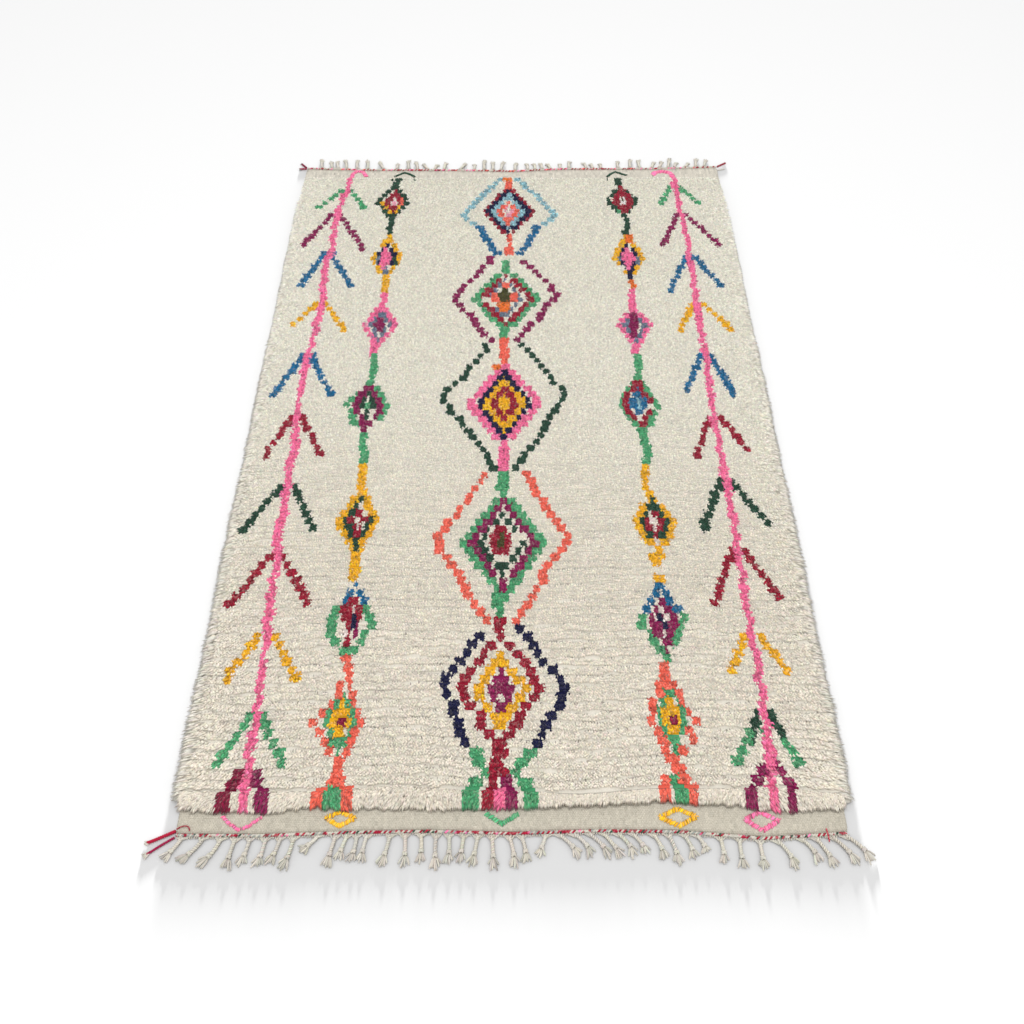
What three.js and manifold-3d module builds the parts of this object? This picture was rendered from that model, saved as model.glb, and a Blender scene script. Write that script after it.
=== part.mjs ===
// Azilal rug: a hand knotted wool rug lying flat, in millimetres with +Z up.
// The near end faces -Y, and the origin is the middle of the woven ground's underside.
import * as THREE from "three";
import Module from "manifold-3d";

const wasm = await Module();
wasm.setup();

// Woven ground
const CLOTH = 4; // thickness of the ground
const HALF_NEAR = 759; // half width at the near end
const HALF_FAR = 784; // half width at the far end
const COLUMNS = 8; // cells across the width
// Twined cords: Y of each cord's middle line at the columns' edges, left to right
const CORD_NEAR = [-1283, -1284, -1277, -1274, -1279, -1273, -1275, -1290, -1278];
const CORD_FAR = [1279, 1270, 1268, 1267, 1261, 1276, 1276, 1279, 1290];
const CORD_R = 3.3; // half width of a cord where it swells
const CORD_H = 6.2; // height of a cord where it swells
const CORD_WAIST = 0.77; // its size between two swellings, as a share of that
const CORD_GROUPS = 5; // swellings to each column
const GAP = 0.5; // clear of the cloth and of the fringe's strip
// Pile
const ROW = 24.2; // pitch of the knot rows
const ROWS = 99;
const PILE_NEAR = -1205; // foot of the pile at the near end
const PILE_FAR = 1196; // foot of the pile at the far end
const PILE_HALF = 783; // half width at the pile's rim, without its locks
const CREST = 24; // height of a row's crest
const GROOVE = 16.5; // height of the groove behind it
const LEAN = 5; // depth of a row's steep near face
const LOCK_OUT = 13; // how far a rim lock reaches out at the sides
const LOCK_EVERY = 3; // rows from one side lock to the next
const FRONT_LOCKS = 56;
// Where the tips of the front locks end: X, Y
const FRONT = [[-783, -1223], [-755, -1229], [-682, -1239], [-628, -1235], [-549, -1241], [-499, -1229],
  [-448, -1227], [-361, -1232], [-315, -1225], [-259, -1231], [0, -1229], [293, -1216], [332, -1211],
  [426, -1218], [521, -1221], [557, -1231], [620, -1237], [670, -1233], [747, -1229], [771, -1223]];
// Fringe: X of each tassel's root, then X and Y of its tip
const STRIP = 4; // depth of the strip that the tassels' roots share
const STRIP_HIGH = 3.5;
const NEAR_TASSELS = [[-740, -779, -1339], [-691, -745, -1344], [-652, -699, -1353], [-621, -633, -1363],
  [-588, -604, -1353], [-553, -571, -1357], [-520, -543, -1350], [-490, -512, -1363], [-434, -474, -1320],
  [-396, -413, -1357], [-370, -388, -1342], [-349, -362, -1346], [-326, -336, -1346], [-274, -294, -1355],
  [-241, -241, -1357], [-205, -205, -1346], [-171, -170, -1363], [-142, -144, -1350], [-108, -117, -1346],
  [-76, -91, -1354], [-45, -40, -1363], [-7, 5, -1359], [20, 31, -1346], [78, 60, -1333], [103, 153, -1335],
  [137, 180, -1333], [171, 220, -1335], [205, 248, -1335], [236, 274, -1333], [270, 302, -1328],
  [317, 340, -1339], [351, 372, -1353], [387, 407, -1339], [415, 434, -1326], [468, 471, -1348],
  [511, 513, -1361], [556, 560, -1363], [594, 630, -1361], [648, 684, -1347], [682, 718, -1358],
  [718, 769, -1350], [748, 803, -1347]];
const FAR_TASSELS = [[-727, -735, 1342], [-687, -697, 1327], [-663, -673, 1332], [-632, -645, 1337],
  [-590, -595, 1337], [-551, -560, 1337], [-490, -511, 1327], [-440, -439, 1312], [-394, -399, 1337],
  [-360, -373, 1327], [-320, -342, 1312], [-296, -284, 1306], [-260, -252, 1322], [-199, -177, 1317],
  [-146, -146, 1310], [-105, -104, 1337], [-72, -75, 1327], [-42, -29, 1327], [12, 18, 1318], [60, 52, 1314],
  [88, 80, 1314], [116, 106, 1316], [148, 132, 1312], [184, 183, 1310], [218, 225, 1329], [284, 270, 1318],
  [310, 298, 1312], [341, 336, 1312], [406, 409, 1329], [452, 459, 1344], [488, 488, 1340],
  [534, 549, 1324], [563, 576, 1329], [597, 610, 1349], [622, 637, 1318], [662, 679, 1318],
  [704, 713, 1349], [736, 749, 1339]];

const CREAM = 0xd8d2c1, GROUND = 0xcfc8b9, CRIMSON = 0x9d2247, MAROON = 0x7a1737, DARK_RED = 0x8a1a2e;

// A repeatable number from -1 to 1 for a pair of whole numbers.
function chance(i, j) {
  const s = Math.sin(i * 127.1 + j * 311.7) * 43758.5453;
  return 2 * (s - Math.floor(s)) - 1;
}

// Straight-line reading of a table of [x, y] rows.
function reading(table, x) {
  let k = 1;
  while (k < table.length - 1 && table[k][0] < x) k += 1;
  const [[x0, y0], [x1, y1]] = [table[k - 1], table[k]];
  const t = Math.min(1, Math.max(0, (x - x0) / (x1 - x0)));
  return y0 + (y1 - y0) * t;
}

// Y of a cord's middle line at x, from its column table.
function cordLine(table, half, x) {
  const rows = table.map((y, i) => [half * (2 * i / COLUMNS - 1), y]);
  return reading(rows, x);
}
const nearLine = (x) => cordLine(CORD_NEAR, HALF_NEAR - 2, x);

function meshOf(name, solid, colour) {
  const made = solid.getMesh();
  const geometry = new THREE.BufferGeometry();
  const points = new Float32Array(made.numVert * 3);
  for (let i = 0; i < made.numVert; i += 1)
    points.set(made.vertProperties.subarray(i * made.numProp, i * made.numProp + 3), i * 3);
  geometry.setAttribute("position", new THREE.BufferAttribute(points, 3));
  geometry.setIndex(new THREE.BufferAttribute(new Uint32Array(made.triVerts), 1));
  geometry.computeVertexNormals();
  const mesh = new THREE.Mesh(geometry, new THREE.MeshStandardMaterial({ color: colour, roughness: 1 }));
  mesh.name = name;
  return mesh;
}

function solidOf(points, triangles) {
  return new wasm.Manifold(new wasm.Mesh({
    numProp: 3,
    vertProperties: new Float32Array(points.flat()),
    triVerts: new Uint32Array(triangles.flat()),
  }));
}

// A closed solid through sections that all have the same number of points.
function through(sections) {
  const n = sections[0].length, last = (sections.length - 1) * n, triangles = [];
  for (let s = 0; s + 1 < sections.length; s += 1)
    for (let k = 0; k < n; k += 1) {
      const a = s * n + k, b = s * n + (k + 1) % n;
      triangles.push([a, b, a + n], [b, b + n, a + n]);
    }
  for (let k = 1; k + 1 < n; k += 1) {
    triangles.push([0, k + 1, k]);
    triangles.push([last, last + k, last + k + 1]);
  }
  const solid = solidOf(sections.flat(), triangles);
  if (solid.volume() > 0) return solid;
  return solidOf(sections.flat(), triangles.map(([a, b, c]) => [a, c, b]));
}

// A four sided strand along stops [x, y, half width, underside, top], level across.
function strand(stops) {
  const sections = stops.map(([x, y, w, z0, z1], i) => {
    const [ax, ay] = stops[Math.max(0, i - 1)], [bx, by] = stops[Math.min(stops.length - 1, i + 1)];
    const long = Math.hypot(bx - ax, by - ay), px = -(by - ay) / long * w, py = (bx - ax) / long * w;
    const [qx, qy] = [0.8 * px, 0.8 * py];
    return [[x + px, y + py, z0], [x - px, y - py, z0], [x - qx, y - qy, z1], [x + qx, y + qy, z1]];
  });
  return through(sections);
}

// Outline of one knotted tassel lying on the floor, from the left of its root round to the right, as
// [x, y, top]: a leg to the knot, then a tuft of two prongs with a notch between them.
function tassel([rootX, tipX, tipY], rootY, size) {
  const dx = tipX - rootX, dy = tipY - rootY, long = Math.hypot(dx, dy);
  const at = (t, off, top) => [rootX + dx * t - dy / long * off, rootY + dy * t + dx / long * off, top];
  const { leg, legHigh, knot, knotHigh } = size;
  const half = [[0.4, leg, legHigh], [0.53, knot, knotHigh], [0.64, leg, legHigh]];
  const short = 0.06 * (1 + chance(rootX, tipX));
  const tuft = [[1 - short, -1], [1, -0.35], [0.84, 0], [1 - short, 0.35], [0.98, 1]];
  // Toward the far end the leg's left is its positive side, and toward the near end its negative one.
  const left = Math.sign(dy);
  return [
    [rootX - size.root, rootY, STRIP_HIGH],
    ...half.map(([t, w, top]) => at(t, left * w, top)),
    ...tuft.map(([t, off]) => at(t, -left * off * size.tuft, size.tuftHigh)),
    ...half.toReversed().map(([t, w, top]) => at(t, -left * w, top)),
    [rootX + size.root, rootY, STRIP_HIGH],
  ];
}

// A flat-bottomed solid under an outline of [x, y, top] points.
function raised(outline) {
  const flat = outline.map(([x, y]) => new THREE.Vector2(x, y));
  if (THREE.ShapeUtils.isClockWise(flat)) return raised(outline.toReversed());
  const n = outline.length, points = [...outline.map(([x, y]) => [x, y, 0]), ...outline], triangles = [];
  for (const [a, b, c] of THREE.ShapeUtils.triangulateShape(flat, [])) {
    const face = THREE.ShapeUtils.isClockWise([flat[a], flat[b], flat[c]]) ? [a, c, b] : [a, b, c];
    triangles.push(face.map((k) => k + n), face.toReversed());
  }
  for (let a = 0, b = 1; a < n; a += 1, b = (a + 1) % n) triangles.push([a, b, b + n], [a, b + n, a + n]);
  return solidOf(points, triangles);
}

// The strip and all its tassels: one outline, drawn left to right and raised.
function fringe(tassels, table, half, size) {
  const way = Math.sign(table[0]), outer = (x) => cordLine(table, half, x) + way * (CORD_R + GAP + STRIP);
  const inner = table.map((y, i) => [half * (2 * i / COLUMNS - 1), y + way * (CORD_R + GAP), STRIP_HIGH]);
  const ends = [-half, half].map((x) => [x, outer(x), STRIP_HIGH]);
  // Roots that stood on one straight line would lose points in the triangulation.
  const combs = tassels.map((t) => tassel(t, outer(t[0]) + 0.3 * chance(t[0], t[2]), size));
  return raised([...inner.toReversed(), ends[0], ...combs.flat(), ends[1]]);
}

// A twined cord: each slanting swelling is one turn of its two strands.
function cord(table, half) {
  const steps = COLUMNS * CORD_GROUPS * 2, sections = [];
  for (let i = 0; i <= steps; i += 1) {
    const x = half * (2 * i / steps - 1), y = cordLine(table, half, x), swell = i % 2;
    const r = CORD_R * (swell ? 1 : CORD_WAIST), h = CORD_H * (swell ? 1 : CORD_WAIST);
    const slant = swell ? 0.3 * r : -0.3 * r;
    const ring = [[-0.6 * r, 0], [0.6 * r, 0], [r, h / 2], [slant, h], [-r, h / 2]];
    sections.push(ring.map(([across, up]) => [x, y + across, up]));
  }
  return through(sections);
}

// Half width of the woven ground and of the pile's rim at y.
const groundHalf = (y) => HALF_NEAR + (HALF_FAR - HALF_NEAR) * (y + 1280) / 2560;
const rimHalf = (y) => PILE_HALF + 5 * Math.cos(y / 780) + 2 * Math.sin(y / 95);

// How far the rows wander from a straight line: more toward the near end.
function wander(x, y) {
  const t = (1200 - y) / 2400;
  return (1.5 + 4.5 * t) * Math.sin(x / 112 + 0.0021 * y) + 2.2 * t * Math.sin(x / 47 - y / 160);
}

// Lines across the rug from near to far. Each has its kind, its Y without wander, and for the pile its row.
function rugLines() {
  const lines = [{ kind: "near edge" }, { kind: "ground", y: -1242 }, { kind: "foot", y: PILE_NEAR }];
  for (let r = 0; r < ROWS; r += 1) {
    const y = PILE_NEAR + LEAN + r * ROW;
    lines.push({ kind: "crest", y, row: r });
    lines.push({ kind: "groove", y: y + ROW - LEAN, row: r });
  }
  lines[lines.length - 1].y = PILE_FAR - 3;
  lines.push({ kind: "foot", y: PILE_FAR + 5 }, { kind: "ground", y: 1235 }, { kind: "far edge" });
  return lines;
}

// The points of one line: underside left, rim left, COLUMNS + 1 on top, rim right, underside right.
function linePoints(line, index) {
  const pile = line.kind === "crest" || line.kind === "groove", points = [];
  const edge = line.kind === "near edge" ? CORD_NEAR : line.kind === "far edge" ? CORD_FAR : null;
  const clear = CORD_R + GAP;
  const yAt = (i, half) => {
    if (edge) return edge[i] + (line.kind === "near edge" ? clear : -clear);
    return line.y + wander(half * (2 * i / COLUMNS - 1), line.y);
  };
  const level = line.y ?? (edge === CORD_NEAR ? -1280 : 1272);
  const ground = edge ? (edge === CORD_NEAR ? HALF_NEAR : HALF_FAR) - 2 : groundHalf(level);
  const top = pile ? rimHalf(level) - 11 : ground;
  for (let i = 0; i <= COLUMNS; i += 1) {
    const u = 2 * i / COLUMNS - 1, shy = pile && Math.abs(u) === 1 ? 3.5 : 0;
    const lump = 2 * chance(i, index) + 1.3 * Math.sin(u * 9 + level / 190);
    const z = line.kind === "crest" ? CREST + lump - shy
      : line.kind === "groove" ? GROOVE + 0.6 * lump - shy
        : line.kind === "ground" ? CLOTH + 0.5 * chance(i, index + 7) : CLOTH;
    points.push([u * top, yAt(i, top), z]);
  }
  for (const side of [-1, 1]) {
    const i = side < 0 ? 0 : COLUMNS, y = yAt(i, ground), seed = index + 500 * (side + 1);
    let rim = [side * (ground + 0.8), y, CLOTH / 2];
    if (line.kind === "groove") rim = [side * (rimHalf(level) - 2 + 2 * chance(seed, 3)), y, 8];
    if (line.kind === "crest") {
      const lock = (line.row + (side > 0 ? 1 : 0)) % LOCK_EVERY === 0;
      const out = lock ? LOCK_OUT + 3 * chance(seed, 1) : 3 + 3 * chance(seed, 2);
      rim = [side * (rimHalf(level) + out), y - 4, lock ? 2.5 : 6];
    }
    const foot = [side * ground, y, 0];
    if (side < 0) points.unshift(foot, rim);
    else points.push(rim, foot);
  }
  return points;
}

function slab() {
  const lines = rugLines(), wide = COLUMNS + 5, points = lines.flatMap((l, i) => linePoints(l, i));
  const triangles = [], last = (lines.length - 1) * wide;
  for (let j = 0; j + 1 < lines.length; j += 1)
    for (let k = 0; k + 1 < wide; k += 1) {
      const a = j * wide + k, b = a + 1, c = a + wide, d = c + 1;
      if ((j + k) % 2) triangles.push([a, b, d], [a, d, c]);
      else triangles.push([a, b, c], [b, d, c]);
    }
  // The two ends and the underside: the end lines have their own points under each column.
  const under = [0, 1].map((end) => {
    const start = end ? last : 0, row = [start];
    for (let i = 1; i < COLUMNS; i += 1) {
      const [x, y] = points[start + 2 + i];
      row.push(points.length);
      points.push([x, y, 0]);
    }
    row.push(start + wide - 1);
    const face = [];
    for (let i = 0; i < COLUMNS; i += 1) {
      const a = row[i], b = row[i + 1], c = start + 2 + i, d = c + 1;
      face.push([a, b, d], [a, d, c]);
    }
    face.push([start, start + 2, start + 1], [start + wide - 1, start + wide - 2, start + wide - 3]);
    triangles.push(...(end ? face.map(([a, b, c]) => [a, c, b]) : face));
    return row;
  });
  const left = (j) => j * wide, right = (j) => j * wide + wide - 1, mid = COLUMNS / 2;
  for (let j = 1; j + 2 < lines.length; j += 1)
    triangles.push([left(j), left(j + 1), right(j)], [right(j), left(j + 1), right(j + 1)]);
  for (const [row, j] of [[under[0], 1], [under[1], lines.length - 2]]) {
    const fan = [];
    for (let i = 0; i < COLUMNS; i += 1) fan.push([i < mid ? left(j) : right(j), row[i + 1], row[i]]);
    fan.push([left(j), right(j), row[mid]]);
    triangles.push(...(j === 1 ? fan : fan.map(([a, b, c]) => [a, c, b])));
  }
  return solidOf(points, triangles);
}

// The front rim's locks hang from the first row down to the bare band.
function frontLocks() {
  const locks = [];
  for (let i = 0; i < FRONT_LOCKS; i += 1) {
    const x = -766 + 1532 * i / (FRONT_LOCKS - 1), u = x / 766;
    const lean = 16 * u * Math.abs(u) + 3 * chance(i, 40), tip = reading(FRONT, x) + 4 * chance(i, 41);
    const w = 11 + chance(i, 42);
    locks.push(strand([
      [x, -1194, w, 8.5, 20.5 + chance(i, 43)],
      [x + lean, tip, w * 0.6, CLOTH + 0.5, 8.5],
    ]));
  }
  return locks;
}

const NEAR_SIZE = { root: 5, leg: 3.8, legHigh: 7, knot: 6.4, knotHigh: 10, tuft: 11, tuftHigh: 6.5 };
const FAR_SIZE = { root: 5, leg: 4.2, legHigh: 7, knot: 6.6, knotHigh: 10.5, tuft: 10.5, tuftHigh: 7 };

// Two cord ends and a small loop at the near left corner.
function tailNearLeft() {
  const x = -HALF_NEAR - 3;
  const root = [[x, -1270, 3.4, 0, 8.6], [x - 1.5, -1290, 3.4, 0, 6.5]];
  const upper = [[x, -1274, 4, 0, 7.4], [x - 22, -1285, 3.7, 0, 7], [x - 46, -1296, 3.7, 0, 7],
    [x - 60, -1303, 6, 0, 7.5]];
  const lower = [[x, -1287, 3.4, 0, 6], [x - 24, -1305, 3.2, 0, 6], [x - 43, -1319, 3.2, 0, 6],
    [x - 59, -1331, 6.5, 0, 7.5]];
  const loop = [[x, -1271, 2.4, 4.8, 8.6], [x + 8, -1266, 2.4, 4.8, 9], [x + 20, -1262, 2.6, 4.8, 9.4],
    [x + 31, -1265, 2.6, 4.8, 9], [x + 34, -1273, 2.2, 4.8, 8]];
  return wasm.Manifold.union([root, upper, lower, loop].map(strand));
}

// A crossing stitch that lies over the cord at the near right corner.
function tailNearRight() {
  const x = 711, y = nearLine(x);
  return strand([[x - 1, y + 17, 2, CLOTH + 0.8, CLOTH + 3], [x, y + 6, 2.2, CLOTH + 0.8, CLOTH + 4],
    [x, y + 2, 2.2, CORD_H + 0.5, CORD_H + 3.4], [x, y - 3, 2.2, CORD_H + 0.5, CORD_H + 3],
    [x + 1, y - 9.5, 1.8, 3.9, 6.4]]);
}

// Two short cord ends at the far left corner.
function tailFarLeft() {
  const x = -HALF_FAR - 3;
  const root = [[x, 1271, 3.4, 0, 6.5], [x, 1288, 3.4, 0, 6.5]];
  const upper = [[x, 1284, 4.4, 0, 7], [x - 11, 1294, 4.6, 0, 8], [x - 21, 1308, 5, 0, 7]];
  const lower = [[x, 1276, 4.2, 0, 7], [x - 12, 1277, 4.4, 0, 7.5], [x - 26, 1274, 4.8, 0, 6.5]];
  return wasm.Manifold.union([root, upper, lower].map(strand));
}

// A thick cord end and a thin one at the far right corner.
function tailFarRight() {
  const x = HALF_FAR + 3;
  const root = [[x, 1268, 2.6, 0, 5], [x, 1297, 3, 0, 6]];
  const thick = [[x, 1291, 4.4, 0, 7.5], [x + 16, 1301, 4.6, 0, 8], [x + 35, 1316, 3.6, 0, 6.5]];
  const thin = [[x, 1271, 2.4, 0, 4.6], [x + 14, 1274, 2.2, 0, 4.4], [x + 28, 1280, 2, 0, 4]];
  return wasm.Manifold.union([root, thick, thin].map(strand));
}

// The near end and the far end are groups of their own, beside the rug itself.
const nearEnd = new THREE.Group();
nearEnd.add(
  meshOf("twined_cord_near", cord(CORD_NEAR, HALF_NEAR - 2), CRIMSON),
  meshOf("fringe_near", fringe(NEAR_TASSELS, CORD_NEAR, HALF_NEAR - 2, NEAR_SIZE), GROUND),
  meshOf("tail_near_left", tailNearLeft(), CRIMSON),
  meshOf("tail_near_right", tailNearRight(), CRIMSON),
);
const farEnd = new THREE.Group();
farEnd.add(
  meshOf("twined_cord_far", cord(CORD_FAR, HALF_FAR - 2), CRIMSON),
  meshOf("fringe_far", fringe(FAR_TASSELS, CORD_FAR, HALF_FAR - 2, FAR_SIZE), GROUND),
  meshOf("tail_far_left", tailFarLeft(), MAROON),
  meshOf("tail_far_right", tailFarRight(), DARK_RED),
);
const azilalRug = new THREE.Group();
azilalRug.name = "azilal_rug";
azilalRug.add(meshOf("rug", wasm.Manifold.union([slab(), ...frontLocks()]), CREAM), nearEnd, farEnd);
export default azilalRug;
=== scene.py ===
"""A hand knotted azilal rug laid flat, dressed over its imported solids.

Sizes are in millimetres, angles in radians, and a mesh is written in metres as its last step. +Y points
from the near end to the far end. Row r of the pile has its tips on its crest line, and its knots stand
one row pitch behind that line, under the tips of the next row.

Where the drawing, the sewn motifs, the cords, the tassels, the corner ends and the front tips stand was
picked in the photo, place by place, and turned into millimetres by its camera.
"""

from __future__ import annotations

import logging
from dataclasses import dataclass
from enum import Enum

import bpy
import numpy as np
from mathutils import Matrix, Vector

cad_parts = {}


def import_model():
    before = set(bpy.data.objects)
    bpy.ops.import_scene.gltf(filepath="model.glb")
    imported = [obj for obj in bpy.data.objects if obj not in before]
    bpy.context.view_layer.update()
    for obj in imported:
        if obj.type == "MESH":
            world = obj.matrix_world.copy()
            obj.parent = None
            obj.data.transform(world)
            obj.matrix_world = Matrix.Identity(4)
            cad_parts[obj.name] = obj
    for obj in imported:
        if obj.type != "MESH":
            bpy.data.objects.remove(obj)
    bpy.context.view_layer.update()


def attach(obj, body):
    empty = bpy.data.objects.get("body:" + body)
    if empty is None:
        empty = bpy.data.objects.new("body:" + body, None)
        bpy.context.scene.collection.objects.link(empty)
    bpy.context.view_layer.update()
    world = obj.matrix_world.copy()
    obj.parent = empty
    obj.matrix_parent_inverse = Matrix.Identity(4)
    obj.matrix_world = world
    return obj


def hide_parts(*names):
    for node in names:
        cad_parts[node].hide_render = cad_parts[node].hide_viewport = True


log = logging.getLogger("azilal_rug")
MM = 0.001
Array = np.ndarray
Point = tuple[float, float]


class Yarn(Enum):
    """The wool's dyes, as sRGB numbers."""

    CREAM = 0xF2ECDF
    PALE = 0xEFE2DC
    PINK = 0xFF78A8
    BLUSH = 0xF0A9BE
    PURPLE = 0x921557
    MAROON = 0x8A0C3C
    CRIMSON = 0xA21032
    DARK_GREEN = 0x224A38
    GREEN = 0x52AC78
    BLUE = 0x176F9E
    LIGHT_BLUE = 0x98C4D0
    SLATE = 0x6F7F94
    NAVY = 0x0A0F42
    YELLOW = 0xFABB1A
    ORANGE = 0xF27B2C
    CORAL = 0xFB705C
    OLIVE = 0x4C4A22
    ECRU = 0xCBC6BA
    GREY = 0x9FA49E
    BAND = 0xC6C0B2


class Slot(Enum):
    """The record's material slots."""

    PILE = "pile_wool"
    WARP = "warp_wool"
    CORD = "twined_cord"
    MAROON = "maroon_wool"


def linear(yarn: Yarn) -> Array:
    """A dye as linear light: each sRGB number s becomes ((s + 0.055) / 1.055) to the power 2.4.

    Args:
        yarn: the dye.

    Returns:
        Red, green and blue from 0 to 1.
    """
    s = np.array([yarn.value >> 16, yarn.value >> 8 & 255, yarn.value & 255]) / 255
    return np.where(s < 0.04045, s / 12.92, ((s + 0.055) / 1.055) ** 2.4)


YARNS = list(Yarn)
NUMBER = {yarn: i for i, yarn in enumerate(YARNS)}
DYES = np.array([linear(yarn) for yarn in YARNS])
PINK, PURPLE, MAROON, CRIMSON = Yarn.PINK, Yarn.PURPLE, Yarn.MAROON, Yarn.CRIMSON
FOREST, GREEN, BLUE, SKY = Yarn.DARK_GREEN, Yarn.GREEN, Yarn.BLUE, Yarn.LIGHT_BLUE
NAVY, YELLOW, ORANGE, CORAL, CREAM = Yarn.NAVY, Yarn.YELLOW, Yarn.ORANGE, Yarn.CORAL, Yarn.CREAM
SLATE, OLIVE, PALE, BLUSH = Yarn.SLATE, Yarn.OLIVE, Yarn.PALE, Yarn.BLUSH


# The plan that every piece shares


@dataclass(frozen=True)
class Plan:
    """Where the rug's rows, edges and cords run. The tables repeat the solids' own."""

    rows: int = 99
    knots: int = 224
    row: float = 24.2
    first_crest: float = -1200.0
    half_near: float = 759.0
    half_far: float = 784.0
    cord_near: tuple[float, ...] = (-1283, -1284, -1277, -1274, -1279, -1273, -1275, -1290, -1278)
    cord_far: tuple[float, ...] = (1279, 1270, 1268, 1267, 1261, 1276, 1276, 1279, 1290)
    cord_clear: float = 3.8
    foot_near: float = -1205.0
    foot_far: float = 1201.0

    def ground_half(self, y: Array) -> Array:
        """Half width of the woven ground: straight from the near end's to the far end's."""
        return self.half_near + (self.half_far - self.half_near) * (np.asarray(y) + 1280) / 2560

    def rim_half(self, y: Array) -> Array:
        """Half width of the pile's rim: 783, bulging by 5 in the middle, with a ripple of 2."""
        y = np.asarray(y)
        return 783 + 5 * np.cos(y / 780) + 2 * np.sin(y / 95)

    def wander(self, x: Array, y: Array) -> Array:
        """How far a row strays along Y: two sine waves along X that grow toward the near end."""
        t = (1200 - y) / 2400
        return (1.5 + 4.5 * t) * np.sin(x / 112 + 0.0021 * y) + 2.2 * t * np.sin(x / 47 - y / 160)

    def crest(self, row: Array, x: Array) -> Array:
        """Y of a row's crest line at x: its straight place and its wander."""
        y = self.first_crest + self.row * np.asarray(row)
        return y + self.wander(x, y)

    def cord_line(self, far: bool, x: Array) -> Array:
        """Y of a cord's middle line at x, by straight lines between its table's places."""
        table = self.cord_far if far else self.cord_near
        half = (self.half_far if far else self.half_near) - 2
        return np.interp(x, np.linspace(-half, half, len(table)), table)

    def knot_x(self) -> Array:
        """X of every knot, (rows, knots): evenly spaced over the ground's width at its row."""
        u = (np.arange(self.knots) + 0.5) / self.knots * 2 - 1
        y = self.first_crest + self.row * np.arange(self.rows)
        return (self.ground_half(y) - 2)[:, None] * u


def drift(x: Array, y: Array, seed: int, size: float) -> Array:
    """A slow wave over the rug from -1 to 1: the mean of four sine waves in seeded directions.

    Args:
        x: places across.
        y: places along.
        seed: which wave.
        size: about how far it is from a high to the next.

    Returns:
        The wave's height at each place.
    """
    rng = np.random.default_rng(seed)
    way, phase = rng.uniform(0, 2 * np.pi, (2, 4))
    pace = 2 * np.pi / size * rng.uniform(0.7, 1.4, 4)
    waves = [np.sin(p * (x * np.cos(w) + y * np.sin(w)) + f) for p, w, f in zip(pace, way, phase)]
    return np.mean(waves, axis=0) * 1.4


# The drawing. A place is (mm across, row of knots from the near end), and the front row's ends hang as
# row -1. All but the trees' places were read off enlarged crops of the photo, under a grid of mm
# and knot rows.

# How far behind its crest line a row of knots shows, a branch's start beside its stem, and its width, in mm
SHOWN_BACK = 11.0
STEM_SIDE = 15
BRANCH_WIDTH = 19


@dataclass(frozen=True)
class Stroke:
    """A line of coloured knots through places, as wide all along or at each place."""

    yarn: Yarn
    width: float | tuple[float, ...]
    marks: tuple[Point, ...]
    ragged: float = 2.2


@dataclass(frozen=True)
class Patch:
    """A spot of one colour: an oval, or a diamond when it is pointed. Its half size is in mm and in rows."""

    yarn: Yarn
    centre: Point
    half: Point
    pointed: bool = False


@dataclass(frozen=True)
class Ring:
    """A lozenge's ring: its reach across in mm and along in rows, its thickness and its share of gaps."""

    yarn: Yarn
    out: float
    up: float
    thick: float
    gaps: float = 0.0


@dataclass(frozen=True)
class Lozenge:
    """Nested rings round a centre."""

    centre: Point
    rings: tuple[Ring, ...]


Motif = Stroke | Patch | Lozenge


def sides(yarn: Yarn, width: float, *lines: tuple[Point, ...]) -> list[Stroke]:
    """One stroke for each of a motif's sides."""
    return [Stroke(yarn, width, line) for line in lines]


def place(x: float, y: float) -> Point:
    """A place from mm along: row r shows round y = first crest + SHOWN_BACK + row pitch * r."""
    return x, (y - Plan.first_crest - SHOWN_BACK) / Plan.row


def tree(branches: tuple[tuple[Yarn, Point, Point, Point], ...]) -> list[Stroke]:
    """Two strokes for each branch of a tree, from beside its stem to its two ends.

    Args:
        branches: each branch's yarn, its apex on the stem, and its left and right ends, all in mm.

    Returns:
        The strokes.
    """
    made = []
    for yarn, (x, y), left, right in branches:
        made.append(Stroke(yarn, BRANCH_WIDTH, (place(x - STEM_SIDE, y), place(*left))))
        made.append(Stroke(yarn, BRANCH_WIDTH, (place(x + STEM_SIDE, y), place(*right))))
    return made


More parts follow.
